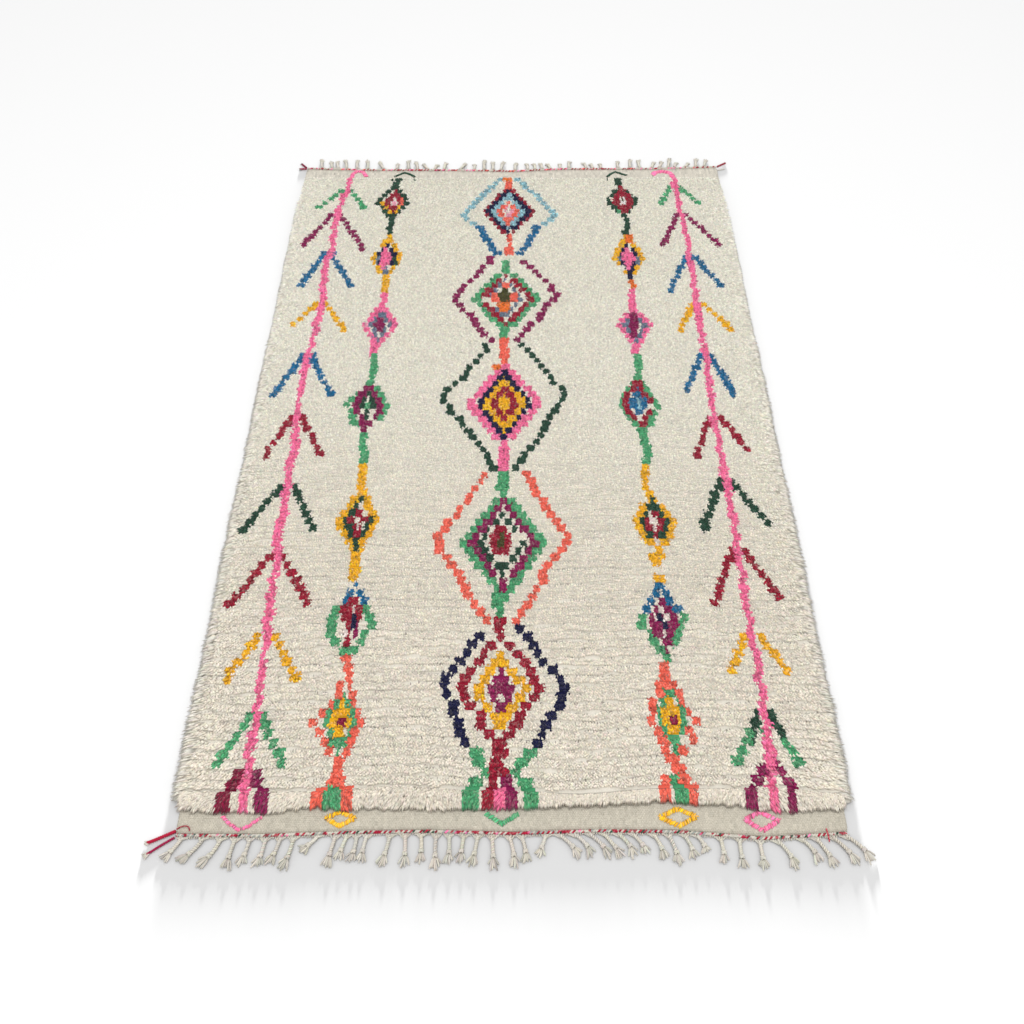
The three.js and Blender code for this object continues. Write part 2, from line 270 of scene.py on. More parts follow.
MEDALLIONS: tuple[Motif, ...] = (
    # First medallion, from the far end: light blue above, blue below
    *sides(SKY, 21,
           ((-45, 98), (-59, 97), (-79, 96), (-104, 94), (-126, 92.5), (-147, 91), (-175, 89), (-163, 88),
            (-141, 87)),
           ((23, 98), (41, 97), (51, 96), (82, 94.5), (100, 93), (121, 91.5), (142, 90.5), (154, 89),
            (120, 87))),
    *sides(BLUE, 25,
           ((-115, 86), (-105, 85), (-96, 84), (-86, 83), (-76, 82), (-70, 81), (-53, 80)),
           ((90, 86), (80, 85), (69, 84), (53, 82), (39, 81), (26, 80))),
    Lozenge((-13, 89.8), (
        Ring(CRIMSON, 87, 6.2, 16), Ring(NAVY, 73, 5.2, 17), Ring(SKY, 55, 4.0, 18),
        Ring(CORAL, 35, 2.6, 14))),
    Patch(BLUSH, (-13, 89.8), (20, 1.3), True), Patch(PALE, (-13, 89.8), (9, 0.6), True),
    Stroke(ORANGE, 36, ((-16, 98), (-16, 97.6))), Stroke(CORAL, 22, ((-13, 97), (-13, 96))),
    Stroke(CORAL, 9, ((-10, 84), (-11, 82))), Patch(CORAL, (-13, 80.5), (20, 1.4)),
    # Second: purple
    *sides(PURPLE, 20,
           ((-77, 79), (-79, 78), (-101, 77), (-110, 76), (-119, 75), (-140, 74), (-163, 73), (-175, 72),
            (-189, 71),
            (-188, 70), (-176, 69), (-162, 68), (-138, 67), (-125, 66), (-117, 65), (-102, 64), (-90, 63),
            (-66, 62)),
           ((44, 78), (61, 77), (81, 76), (94, 75), (115, 74), (137, 73), (133, 72), (150, 71), (140, 70),
            (119, 69),
            (98, 67), (87, 66), (67, 65), (47, 64), (33, 63), (15, 62))),
    Lozenge((-20, 70.2), (Ring(GREEN, 106, 6.6, 24), Ring(CRIMSON, 84, 5.4, 19, 0.04))),
    Lozenge((-24, 70.3), (Ring(SLATE, 57, 3.9, 11, 0.12),)),
    Patch(CORAL, (-24, 72.7), (14, 0.9)), Patch(CORAL, (-55, 70.3), (17, 1.1)),
    Patch(CORAL, (2, 70.5), (18, 1.1)),
    Patch(ORANGE, (-26, 68.6), (20, 1.1)), Patch(OLIVE, (-26, 70.6), (22, 1.4)),
    Stroke(GREEN, 27, ((-19, 78), (-20, 77))), Stroke(GREEN, 23, ((-27, 64), (-25, 63))),
    Stroke(CORAL, 28, ((-27, 62), (-27, 60.6), (-27, 59))), Stroke(CORAL, 20, ((-27, 58), (-27, 57.6))),
    # Third: dark green
    *sides(FOREST, 18,
           ((-86, 61), (-77, 60), (-100, 59), (-113, 58), (-132, 57), (-143, 56), (-154, 55), (-179, 54),
            (-199, 53),
            (-211, 52), (-209, 51), (-191, 50), (-186, 49), (-157, 48), (-145, 47), (-133, 46), (-118, 45),
            (-98, 44), (-87, 43), (-71, 42), (-65, 41), (-58, 40)),
           ((30, 61), (51, 60), (67, 59), (83, 58), (97, 57), (108, 56), (119, 55), (128, 54), (151, 53),
            (164, 52),
            (153, 51), (140, 50), (130, 49), (113, 48), (103, 47), (96, 46), (84, 45), (76, 44), (54, 43),
            (37, 42),
            (26, 41), (10, 40))),
    Lozenge((-23, 50.5), (Ring(PINK, 106, 6.9, 25),)),
    Patch(NAVY, (-23, 50.5), (90, 6.0), True), Patch(YELLOW, (-23, 50.5), (70, 4.7), True),
    Patch(CRIMSON, (-23, 50.5), (48, 3.3), True), Patch(YELLOW, (-25, 50.5), (24, 1.7), True),
    Patch(ORANGE, (-46, 57), (12, 0.5)),
    Patch(NAVY, (-27, 44.6), (8, 0.5)),
    Stroke(PINK, 31, ((-23, 43), (-23, 42), (-23, 40))),
    # Fourth: coral
    Stroke(CORAL, (20, 12, 13, 15, 12, 14, 16), ((-77, 39), (-90, 38), (-104, 37), (-118, 36), (-128, 35),
                                                 (-146, 34), (-153, 33))),
    *sides(CORAL, 21,
           ((-177, 32), (-187, 31), (-203, 30), (-202, 29), (-197, 28), (-178, 27), (-165, 26), (-142, 25),
            (-138, 24), (-122, 23), (-113, 22), (-98, 21), (-83, 20), (-62, 19)),
           ((36, 39), (57, 38), (62, 37), (70, 36), (88, 35), (98, 34), (110, 33), (122, 32), (140, 31),
            (156, 30),
            (152, 29), (135, 28), (118, 27), (94, 26), (83, 25), (81, 24), (64, 23), (58, 22), (42, 21),
            (26, 20),
            (10, 19))),
    Lozenge((-23, 29.1), (Ring(GREEN, 109, 7.2, 22), Ring(PURPLE, 87, 5.8, 19, 0.03))),
    Lozenge((-27, 29.1), (Ring(FOREST, 61, 3.9, 16, 0.05),)),
    Patch(CREAM, (-29, 29.4), (42, 2.3)), Patch(CRIMSON, (-30, 29.4), (32, 1.9)),
    Patch(OLIVE, (-30, 29.4), (12, 0.6)),
    Stroke(GREEN, 34, ((-27, 39), (-27, 38), (-27, 37))),
    Stroke(GREEN, (46, 32, 21), ((-34, 22), (-38, 21), (-32, 20))),
    Stroke(CRIMSON, (28, 20, 18), ((-32, 19), (-32, 18), (-32, 17))),
    # Fifth: navy over green legs
    *sides(NAVY, 21,
           ((-81, 17), (-104, 16), (-112, 15), (-128, 14), (-146, 13), (-160, 12), (-172, 11.3), (-157, 10),
            (-144, 9), (-142, 8), (-128, 7), (-119, 6), (-113, 5)),
           ((22, 18), (39, 17), (53, 16), (64, 15), (77, 14), (102, 13), (118, 12), (132, 11), (123, 10),
            (113, 9),
            (98, 8), (84, 7), (69, 6), (58, 5))),
    *sides(CRIMSON, 22,
           ((-52, 16), (-71, 15), (-82, 14), (-100, 13), (-112, 12), (-120, 11), (-113, 10), (-101, 9),
            (-77, 8),
            (-72, 7), (-55, 6)),
           ((-6, 16), (13, 15), (32, 14), (46, 13), (54, 12), (67, 11), (53, 10), (35, 9), (20, 8), (9, 7),
            (-7, 6))),
    Patch(YELLOW, (-29, 14.6), (15, 0.7)),
    *sides(YELLOW, 23,
           ((-40, 13.7), (-50, 13), (-64, 12.5), (-84, 11), (-79, 10), (-59, 9), (-44, 8), (-33, 7)),
           ((-18, 13.7), (-4, 13), (13, 12.5), (32, 11), (18, 10), (0, 9), (-14, 8), (-25, 7))),
    Patch(PURPLE, (-27, 10.8), (38, 2.4), True), Patch(CREAM, (-28, 10.3), (7, 0.5)),
    *sides(GREEN, 29, ((-98, 4.4), (-87, 4), (-80, 3), (-60, 2)), ((46, 4.4), (41, 4), (20, 3), (6, 2)),
           ((-84, 1), (-90, 0), (-95, -1))),
    Stroke(GREEN, 27, ((30, 1), (36, 0), (46, -1))),
    Stroke(CRIMSON, (30, 34, 32, 42), ((-31, 5), (-31, 4), (-34, 3), (-29, 2))),
    Stroke(CRIMSON, (16, 17, 18), ((-44, 1), (-48, 0), (-51, -1))),
    Stroke(PURPLE, (18, 22, 24), ((-11, 1), (-5, 0), (-2, -1))), Stroke(PINK, 19, ((-27, 0), (-27, -1))),
)

INNER_LEFT: tuple[Motif, ...] = (
    Patch(FOREST, (-452, 98), (3, 0.4)), Patch(FOREST, (-365, 98), (3, 0.4)),
    Stroke(FOREST, 18, ((-422, 98.4), (-433, 97), (-431, 96))),
    Lozenge((-437, 92.4), (Ring(FOREST, 56, 4.3, 15),)), Patch(YELLOW, (-437, 92.0), (42, 3.2), True),
    Patch(CRIMSON, (-433, 92.6), (38, 3.0), True), Patch(CORAL, (-404, 92.4), (9, 0.9)),
    Patch(PALE, (-432, 92.2), (13, 0.9)), Patch(BLUSH, (-432, 92.2), (6, 0.5)),
    Stroke(FOREST, 19, ((-433, 89), (-436, 88), (-437, 87), (-434, 85))),
    # Yellow round pink
    Lozenge((-436, 79.2), (Ring(YELLOW, 50, 4.9, 17, 0.06), Ring(NAVY, 31, 2.9, 13))),
    Patch(PINK, (-441, 79), (27, 2.5), True), Patch(SLATE, (-467, 78.6), (7, 0.9)),
    Patch(FOREST, (-405, 78.4), (7, 1.2)), Patch(SLATE, (-433, 76.2), (8, 0.8)),
    Stroke(YELLOW, 18, ((-431, 84), (-431, 83))),
    Stroke(YELLOW, 24, ((-431, 75), (-430, 74), (-428, 73), (-428, 72))),
    Stroke(PINK, 20, ((-428, 71), (-426, 70), (-430, 69), (-432, 68))),
    # Pink round purple
    Lozenge((-431, 64.9), (Ring(PINK, 50, 4.1, 20), Ring(SLATE, 30, 2.6, 9, 0.1))),
    Patch(BLUSH, (-478, 65.2), (8, 0.7)), Patch(PURPLE, (-431, 65), (21, 1.8), True),
    Stroke(PINK, 20, ((-441, 61), (-441, 60), (-440, 59.4))),
    Stroke(GREEN, 20, ((-440, 59), (-434, 57), (-436, 55), (-439, 54))),
    # Green and purple
    Stroke(GREEN, 20, ((-469, 52), (-490, 51), (-504, 50), (-488, 49), (-479, 48), (-472, 47))),
    Stroke(GREEN, 15, ((-416, 53), (-403, 52), (-395, 51), (-380, 50), (-386, 49), (-394, 48))),
    Patch(MAROON, (-459, 51.6), (13, 0.8)),
    *sides(PURPLE, 16,
           ((-450, 53), (-459, 52), (-470, 51), (-478, 50), (-469, 49), (-450, 48), (-449, 47), (-441, 46)),
           ((-436, 53), (-423, 52), (-410, 51), (-404, 50), (-403, 49), (-412, 48), (-430, 47))),
    Lozenge((-441, 50.3), (Ring(FOREST, 18, 2.1, 14),)), Patch(GREEN, (-440, 49.6), (8, 0.5)),
    Stroke(GREEN, 21, ((-443, 45), (-438, 43.5), (-432, 42), (-430, 41))),
    # Yellow round crimson
    Stroke(YELLOW, 24, ((-430, 40), (-431, 39), (-432, 38), (-429, 37), (-425, 36))),
    Lozenge((-428, 31.9), (Ring(YELLOW, 50, 4.4, 24, 0.02), Ring(FOREST, 33, 3.0, 15, 0.2),
                           Ring(CRIMSON, 19, 1.7, 17))),
    Patch(PALE, (-427, 31.4), (7, 0.7)), Patch(PALE, (-430, 34.4), (5, 0.5)),
    Stroke(YELLOW, 26, ((-416, 28), (-423, 27), (-421, 26), (-424, 25), (-422, 24))),
    Patch(FOREST, (-424, 28), (9, 0.5)),
    # Blue arch, crimson and green
    Stroke(BLUE, 9, ((-413, 23.2), (-413, 22.8))),
    Stroke(BLUE, 17, ((-425, 22.3), (-429, 22), (-437, 20.9))),
    Stroke(BLUE, 15, ((-402, 22.3), (-397, 22), (-389, 21))),
    Stroke(GREEN, (16, 20, 27, 27, 26), ((-458, 20), (-462, 19), (-461, 18), (-461, 17), (-447, 16))),
    Stroke(GREEN, 18, ((-377, 20), (-366, 19), (-360, 18), (-377, 17), (-384, 16))),
    Patch(GREEN, (-414, 15), (23, 0.5)),
    Patch(CRIMSON, (-416, 19.4), (36, 2.4), True), Patch(CRIMSON, (-438, 20), (12, 0.6)),
    Patch(PALE, (-412, 20.3), (6, 0.5)),
    Patch(CRIMSON, (-419, 16.3), (11, 0.7)), Patch(PURPLE, (-401, 17.3), (8, 0.9)),
    Patch(PALE, (-432, 17.2), (10, 0.5)),
    Patch(NAVY, (-409, 18.3), (11, 0.8)),
    # Coral round green and yellow, over two legs
    Stroke(CORAL, (26, 22, 16), ((-414, 14), (-408, 13), (-406, 12))),
    *sides(CORAL, 16,
           ((-426, 11), (-425, 10), (-437, 9), (-458, 8), (-480, 7), (-461, 6), (-448, 5), (-432, 4)),
           ((-399, 11), (-391, 10), (-387, 9), (-378, 8), (-364, 7), (-372, 6), (-384, 5), (-388, 4))),
    Stroke(CORAL, (26, 24, 33), ((-407, 3), (-408, 2), (-405, 1))),
    Lozenge((-413, 7.1), (Ring(GREEN, 35, 3.2, 9),)), Patch(YELLOW, (-414, 7.2), (30, 2.2), True),
    Patch(YELLOW, (-412, 6), (13, 0.5)), Patch(MAROON, (-412, 7), (10, 0.5)),
    Patch(GREEN, (-415, 4.7), (7, 0.5)),
    *sides(CORAL, 27, ((-436, 0), (-445, -1)), ((-381, 0), (-381, -1))),
    Stroke(GREEN, (17, 32), ((-409, 0), (-414, -1))),
)

INNER_RIGHT: tuple[Motif, ...] = (
    Patch(FOREST, (357, 98), (3, 0.4)),
    Stroke(FOREST, 19, ((398, 98.4), (397, 97), (402, 96))),
    Lozenge((405, 92.6), (Ring(FOREST, 54, 4.0, 14, 0.04),)), Patch(CRIMSON, (407, 92.6), (46, 3.8), True),
    Patch(GREEN, (388, 90), (7, 0.5)), Patch(PALE, (408, 92.5), (10, 0.9)),
    Patch(OLIVE, (408, 93), (4, 0.5)),
    Stroke(FOREST, 16, ((404, 89), (412, 88), (413, 87), (410, 86), (403, 85))),
    # Yellow round pink
    Lozenge((405, 79.3), (Ring(YELLOW, 50, 4.9, 16, 0.06), Ring(NAVY, 32, 3.3, 12))),
    Patch(PINK, (402, 79.2), (28, 2.6), True), Patch(SLATE, (373, 79), (6, 0.9)),
    Patch(SLATE, (435, 78.8), (7, 0.8)),
    Patch(NAVY, (405, 75.6), (13, 1)),
    Stroke(ORANGE, 19, ((419, 84.2), (411, 83))), Stroke(ORANGE, 17, ((407, 74), (407, 73))),
    Stroke(PINK, 20, ((407, 72), (403, 71), (401, 70), (400, 69), (400, 68))),
    # Pink round purple
    Lozenge((401, 64.9), (Ring(PINK, 49, 3.9, 19, 0.04), Ring(SLATE, 31, 2.7, 12, 0.1))),
    Stroke(PURPLE, 20, ((402, 67), (400, 66), (397, 65), (397, 63))), Patch(PURPLE, (396, 65.2), (19, 0.5)),
    Stroke(PINK, 20, ((396, 61), (394, 60))),
    Stroke(GREEN, 21, ((397, 59), (400, 57.5), (396, 56), (393, 55))),
    # Green, crimson and a blue flower
    *sides(GREEN, 15,
           ((375, 54), (357, 53), (347, 52), (335, 51), (333, 50), (345, 49), (352, 48), (363, 47)),
           ((404, 54), (414, 53), (425, 52), (439, 51), (443, 50), (433, 49), (422, 48), (411, 47))),
    *sides(CRIMSON, 15,
           ((382, 54), (371, 53), (358, 52), (348, 51), (349, 50), (354, 49), (368, 48), (386, 47)),
           ((390, 54), (399, 53), (406, 52), (424, 51)), ((416, 49), (403, 48), (394, 47))),
    Patch(BLUE, (386, 50.6), (35, 2.4), True), Patch(SKY, (388, 50.5), (6, 0.6)),
    Stroke(GREEN, (27, 20, 20, 20), ((388, 46), (392, 44), (396, 43), (391, 41))),
    # Yellow round crimson
    Stroke(YELLOW, 20, ((388, 40), (384, 39), (382, 38), (381, 37), (392, 36))),
    Lozenge((396, 31.6), (Ring(YELLOW, 51, 4.5, 22, 0.02), Ring(FOREST, 34, 3.2, 14, 0.2),
                          Ring(CRIMSON, 19, 1.8, 18))),
    Patch(PALE, (392, 31.4), (6, 1)), Patch(PALE, (397, 29), (6, 0.5)),
    Stroke(YELLOW, (38, 22), ((391, 27), (389, 26))), Patch(YELLOW, (393, 24), (17, 0.6)),
    # Blue arch, purple and green
    Stroke(BLUE, 21, ((389, 23.2), (389, 22.6))),
    Stroke(BLUE, (18, 20, 28), ((408, 22), (412, 21), (425, 20.2))),
    Stroke(BLUE, 17, ((379, 22), (368, 21), (352, 20))),
    Stroke(GREEN, (16, 22, 16, 25, 32, 13),
           ((334, 19), (331, 18), (353, 17), (358, 16), (376, 15), (387, 14))),
    Stroke(GREEN, 17, ((446, 19), (432, 18), (425, 17), (418, 16))),
    Patch(PURPLE, (390, 18.4), (43, 3.4), True), Patch(NAVY, (392, 18), (8, 0.5)),
    Patch(NAVY, (380, 19), (5, 0.5)),
    Patch(PALE, (390, 20), (6, 0.5)), Patch(PALE, (371, 18.6), (6, 0.5)), Patch(PALE, (404, 19), (7, 0.5)),
    Patch(PALE, (391, 16.6), (5, 0.5)),
    # Coral round green and yellow, over two legs
    Stroke(CORAL, (20, 22, 30), ((380, 13), (377, 12), (374, 11))),
    *sides(CORAL, 17,
           ((361, 10), (345, 9), (339, 8), (332, 7), (348, 6), (358, 5), (363, 4)),
           ((396, 11), (406, 10), (410, 9), (423, 8), (442, 7), (428, 6), (426, 5), (400, 4))),
    Stroke(CORAL, 28, ((379, 3), (388, 2))),
    Lozenge((386, 7.4), (Ring(GREEN, 35, 3.2, 9),)), Patch(YELLOW, (384, 7.5), (30, 2.2), True),
    Patch(MAROON, (391, 7), (9, 0.6)), Patch(YELLOW, (388, 6), (9, 0.5)), Patch(GREEN, (387, 5), (11, 0.5)),
    *sides(CORAL, 25, ((358, 1), (352, 0), (356, -1)), ((397, 1), (414, 0), (414, -1))),
    Stroke(GREEN, (14, 28, 32), ((375, 1), (384, 0), (387, -1))),
)

TREES: tuple[Motif, ...] = (
    *tree((
        (GREEN, (-616, 1116), (-701, 1012), (-540, 1012)),
        (PURPLE, (-637, 959), (-735, 793), (-523, 782)),
        (BLUE, (-640, 739), (-714, 580), (-548, 580)),
        (YELLOW, (-634, 484), (-714, 377), (-543, 353)),
        (BLUE, (-649, 228), (-737, 58), (-555, 63)),
        (CRIMSON, (-647, -29), (-719, -163), (-561, -171)),
        (FOREST, (-641, -287), (-735, -432), (-549, -439)),
        (CRIMSON, (-635, -526), (-733, -681), (-532, -681)),
        (YELLOW, (-626, -765), (-704, -890), (-536, -890)),
        (GREEN, (-616, -1000), (-687, -1109), (-539, -1114)))),
    *tree((
        (GREEN, (607, 1128), (542, 1033), (685, 1033)),
        (PURPLE, (614, 965), (531, 799), (728, 793)),
        (BLUE, (619, 728), (537, 564), (704, 580)),
        (YELLOW, (615, 489), (545, 353), (712, 362)),
        (BLUE, (613, 242), (536, 84), (684, 63)),
        (CRIMSON, (609, -20), (541, -167), (692, -151)),
        (FOREST, (610, -272), (531, -428), (709, -418)),
        (CRIMSON, (614, -512), (530, -675), (706, -669)),
        (YELLOW, (611, -765), (541, -887), (687, -887)),
        (FOREST, (609, -995), (565, -1060), (648, -1060)),
        (GREEN, (582, -1050), (529, -1117), (560, -1062)))),
    Stroke(GREEN, 19, (place(648, -1062), place(670, -1117))),
    Stroke(MAROON, 24, (place(-636, -1146), (-660, -1))),
    Stroke(PURPLE, 24, (place(-596, -1146), (-570, -1))),
    Patch(PURPLE, (603, 2.4), (25, 0.8)),
    *sides(PURPLE, 22, (place(580, -1142), (552, -1)), (place(622, -1142), (648, 0), (640, -1))),
    Stroke(PINK, 18.5, ((-604, 98.5), (-613, 95), (-634, 89), (-632, 80), (-645, 77), (-631, 70), (-640, 63),
                      (-650, 57), (-650, 49), (-641, 43), (-640, 32.6), (-628, 19), (-616, 6.6), (-612, -1)),
                      4.2),
    Stroke(PINK, 18.5, ((609, 98.5), (606, 93.5), (614, 89), (620, 81), (613, 68), (615, 63.6), (609, 49.3),
                      (611, 41), (613, 32.6), (614, 21.6), (610, 9.3), (603, 2.4), (596, -1)), 4.2),
)


# Where the tips of the front row end: places picked in the photo, turned into mm by the camera.
FRONT_TIPS: tuple[Point, ...] = (
    (-783, -1223), (-755, -1229), (-682, -1239), (-628, -1235), (-549, -1241), (-499, -1229), (-448, -1227),
    (-361, -1232), (-315, -1225), (-259, -1231), (0, -1229), (293, -1216), (332, -1211), (426, -1218),
    (521, -1221), (557, -1231), (620, -1237), (670, -1233), (747, -1229), (771, -1223),
)


class Chart:
    """The yarn of every knot, painted row by row as the knotter works."""

    # How much wider a block shows than its table says and its least half width, in mm, and how far past
    # its ends a stroke still fills a row, in rows
    SWELL = 4.5
    LEAST_HALF = 3.6
    STROKE_REACH = 0.45

    def __init__(self, plan: Plan) -> None:
        """Starts with all knots cream: the front row's hanging ends first, then each row.

        Args:
            plan: the rug's plan.
        """
        self.plan = plan
        self.x = plan.knot_x()
        self.row = np.arange(-1, plan.rows)
        self.lines = np.zeros((plan.rows + 1, plan.knots), int)
        self.rng = np.random.default_rng(7)

    @property
    def front(self) -> Array:
        """The yarn of the front row's hanging ends."""
        return self.lines[0]

    @property
    def yarn(self) -> Array:
        """The yarn of each knot, (rows, knots)."""
        return self.lines[1:]

    def span(self, line: int, centre: float, width: float, yarn: Yarn, ragged: float = 1.6) -> None:
        """Paints the knots of one line within width of a centre, both strayed by up to ragged.

        Args:
            line: the chart's line.
            centre: the block's middle, in mm across.
            width: the block's width in mm.
            yarn: its dye.
            ragged: how far its middle and its width may stray.
        """
        centre += self.rng.uniform(-ragged, ragged)
        width += self.rng.uniform(-ragged, ragged)
        self.lines[line, np.abs(self.x[max(line - 1, 0)] - centre) < max(width / 2,
                                                                         self.LEAST_HALF)] = NUMBER[yarn]

    def stroke(self, mark: Stroke) -> None:
        """Paints a stroke: in each row that it passes, a block at its place there.

        Args:
            mark: the stroke.
        """
        x, row = np.array(mark.marks, float).T
        order = np.argsort(row)
        wide = np.broadcast_to(mark.width, len(x))[order]
        low, high = row.min() - self.STROKE_REACH, row.max() + self.STROKE_REACH
        for line in np.flatnonzero((self.row < high) & (self.row > low)):
            at = [float(np.interp(self.row[line], row[order], v)) for v in (x[order], wide)]
            self.span(line, at[0], at[1] + self.SWELL, mark.yarn, mark.ragged)

    def patch(self, spot: Patch) -> None:
        """Paints an oval or a diamond: each row's width is its chord there.

        Args:
            spot: the patch.
        """
        (across, along), (wide, high) = spot.centre, spot.half
        for line in np.flatnonzero(np.abs(self.row - along) < high + 0.05):
            off = min(abs(self.row[line] - along) / (high + 0.1), 1)
            chord = 1 - off if spot.pointed else np.sqrt(max(0.3, 1 - off * off))
            self.span(line, across, 2 * wide * chord, spot.yarn, 1.2)

    def lozenge(self, shape: Lozenge) -> None:
        """Paints nested rings: in each row, a block on either side at out * (1 - the height's share).

        Args:
            shape: the lozenge.
        """
        across, along = shape.centre
        for ring in shape.rings:
            for line in np.flatnonzero(np.abs(self.row - along) < ring.up + 0.35):
                out = ring.out * max(0.0, 1 - abs(self.row[line] - along) / ring.up)
                if out < 0.6 * ring.thick:
                    self.span(line, across, max(ring.thick, 1.2 * out), ring.yarn)
                    continue
                for side in (-1, 1):
                    if self.rng.random() >= ring.gaps:
                        self.span(line, across + side * out, ring.thick + self.SWELL, ring.yarn)

    def paint(self, *motifs: Motif) -> None:
        """Paints motifs in order, each over the ones before.

        Args:
            motifs: what to paint.
        """
        for motif in motifs:
            if isinstance(motif, Stroke):
                self.stroke(motif)
            elif isinstance(motif, Patch):
                self.patch(motif)
            else:
                self.lozenge(motif)


# Shapes made as whole arrays


@dataclass
class Shape:
    """Points, faces by their number of corners, and for each corner a colour and a place on the map.

    An island is a part of the surface with its own cell on the map.
    """

    points: Array
    faces: list[Array]
    colours: list[Array]
    places: list[Array]
    islands: list[Array]


def join(shapes: list[Shape]) -> Shape:
    """One shape of many: their points stacked, and faces and islands numbered on.

    Args:
        shapes: its parts.

    Returns:
        The shape.
    """
    faces, islands, point, island = [], [], 0, 0
    for shape in shapes:
        faces += [f + point for f in shape.faces]
        islands += [i + island for i in shape.islands]
        point += len(shape.points)
        island += 1 + max(int(i.max()) for i in shape.islands)
    return Shape(
        np.concatenate([s.points for s in shapes]),
        faces,
        [c for s in shapes for c in s.colours],
        [p for s in shapes for p in s.places],
        islands,
    )


def tubes(path: Array, radius: Array, colour: Array, sides: int = 3, squash: float = 1.0) -> Shape:
    """Closed tubes along many paths at once.

    A ring's point is its path's point + radius * (cos(a) * across + squash * sin(a) * over), where
    across is level and square to the path, and over is square to both.

    Args:
        path: the paths' points, (tubes, stops, 3).
        radius: the radius at each stop, (tubes, stops) or fewer axes.
        colour: the colour at each stop, (tubes, stops, 3) or fewer axes.
        sides: corners of a section.
        squash: height of a section as a share of its width.

    Returns:
        The shape, with one island for each tube.
    """
    n, stops, _ = path.shape
    radius = np.broadcast_to(radius, (n, stops))
    colour = np.broadcast_to(colour, (n, stops, 3))
    way = np.gradient(path, axis=1)
    way /= np.linalg.norm(way, axis=2, keepdims=True)
    across = np.cross(way, [0.0, 0.0, 1.0])
    across /= np.maximum(np.linalg.norm(across, axis=2, keepdims=True), 1e-6)
    over = np.cross(across, way)
    a = 2 * np.pi * (np.arange(sides) + 0.25) / sides
    ring = np.cos(a)[:, None] * across[:, :, None] + squash * np.sin(a)[:, None] * over[:, :, None]
    points = path[:, :, None] + radius[..., None, None] * ring
    at = np.arange(n * stops * sides).reshape(n, stops, sides)
    turned = np.roll(at, -1, axis=2)
    quads = np.stack([at[:, :-1], at[:, 1:], turned[:, 1:], turned[:, :-1]], -1)
    ends = np.concatenate([at[:, 0], at[:, -1, ::-1]])
    up = np.broadcast_to((np.arange(stops) / (stops - 1))[:, None], (stops, sides))
    left = np.broadcast_to(np.arange(sides) / sides, (stops, sides))
    lower = np.stack([left, up], -1)
    right = lower + [1 / sides, 0]
    corner = np.stack([lower[:-1], lower[1:], right[1:], right[:-1]], 2)
    shade = np.stack([colour[:, :-1], colour[:, 1:], colour[:, 1:], colour[:, :-1]], 2)
    shade = np.broadcast_to(shade[:, :, None], (n, stops - 1, sides, 4, 3))
    end_shade = np.concatenate([colour[:, 0], colour[:, -1]])
    end_place = np.concatenate([np.broadcast_to(lower[0], (n, sides, 2)),
                                np.broadcast_to(lower[-1, ::-1], (n, sides, 2))])
    ids = np.arange(n)
    return Shape(
        points.reshape(-1, 3),
        [quads.reshape(-1, 4), ends],
        [shade.reshape(-1, 4, 3), np.broadcast_to(end_shade[:, None], (2 * n, sides, 3))],
        [np.broadcast_to(corner, (n, *corner.shape)).reshape(-1, 4, 2), end_place],
        [np.repeat(ids, (stops - 1) * sides), np.tile(ids, 2)],
    )


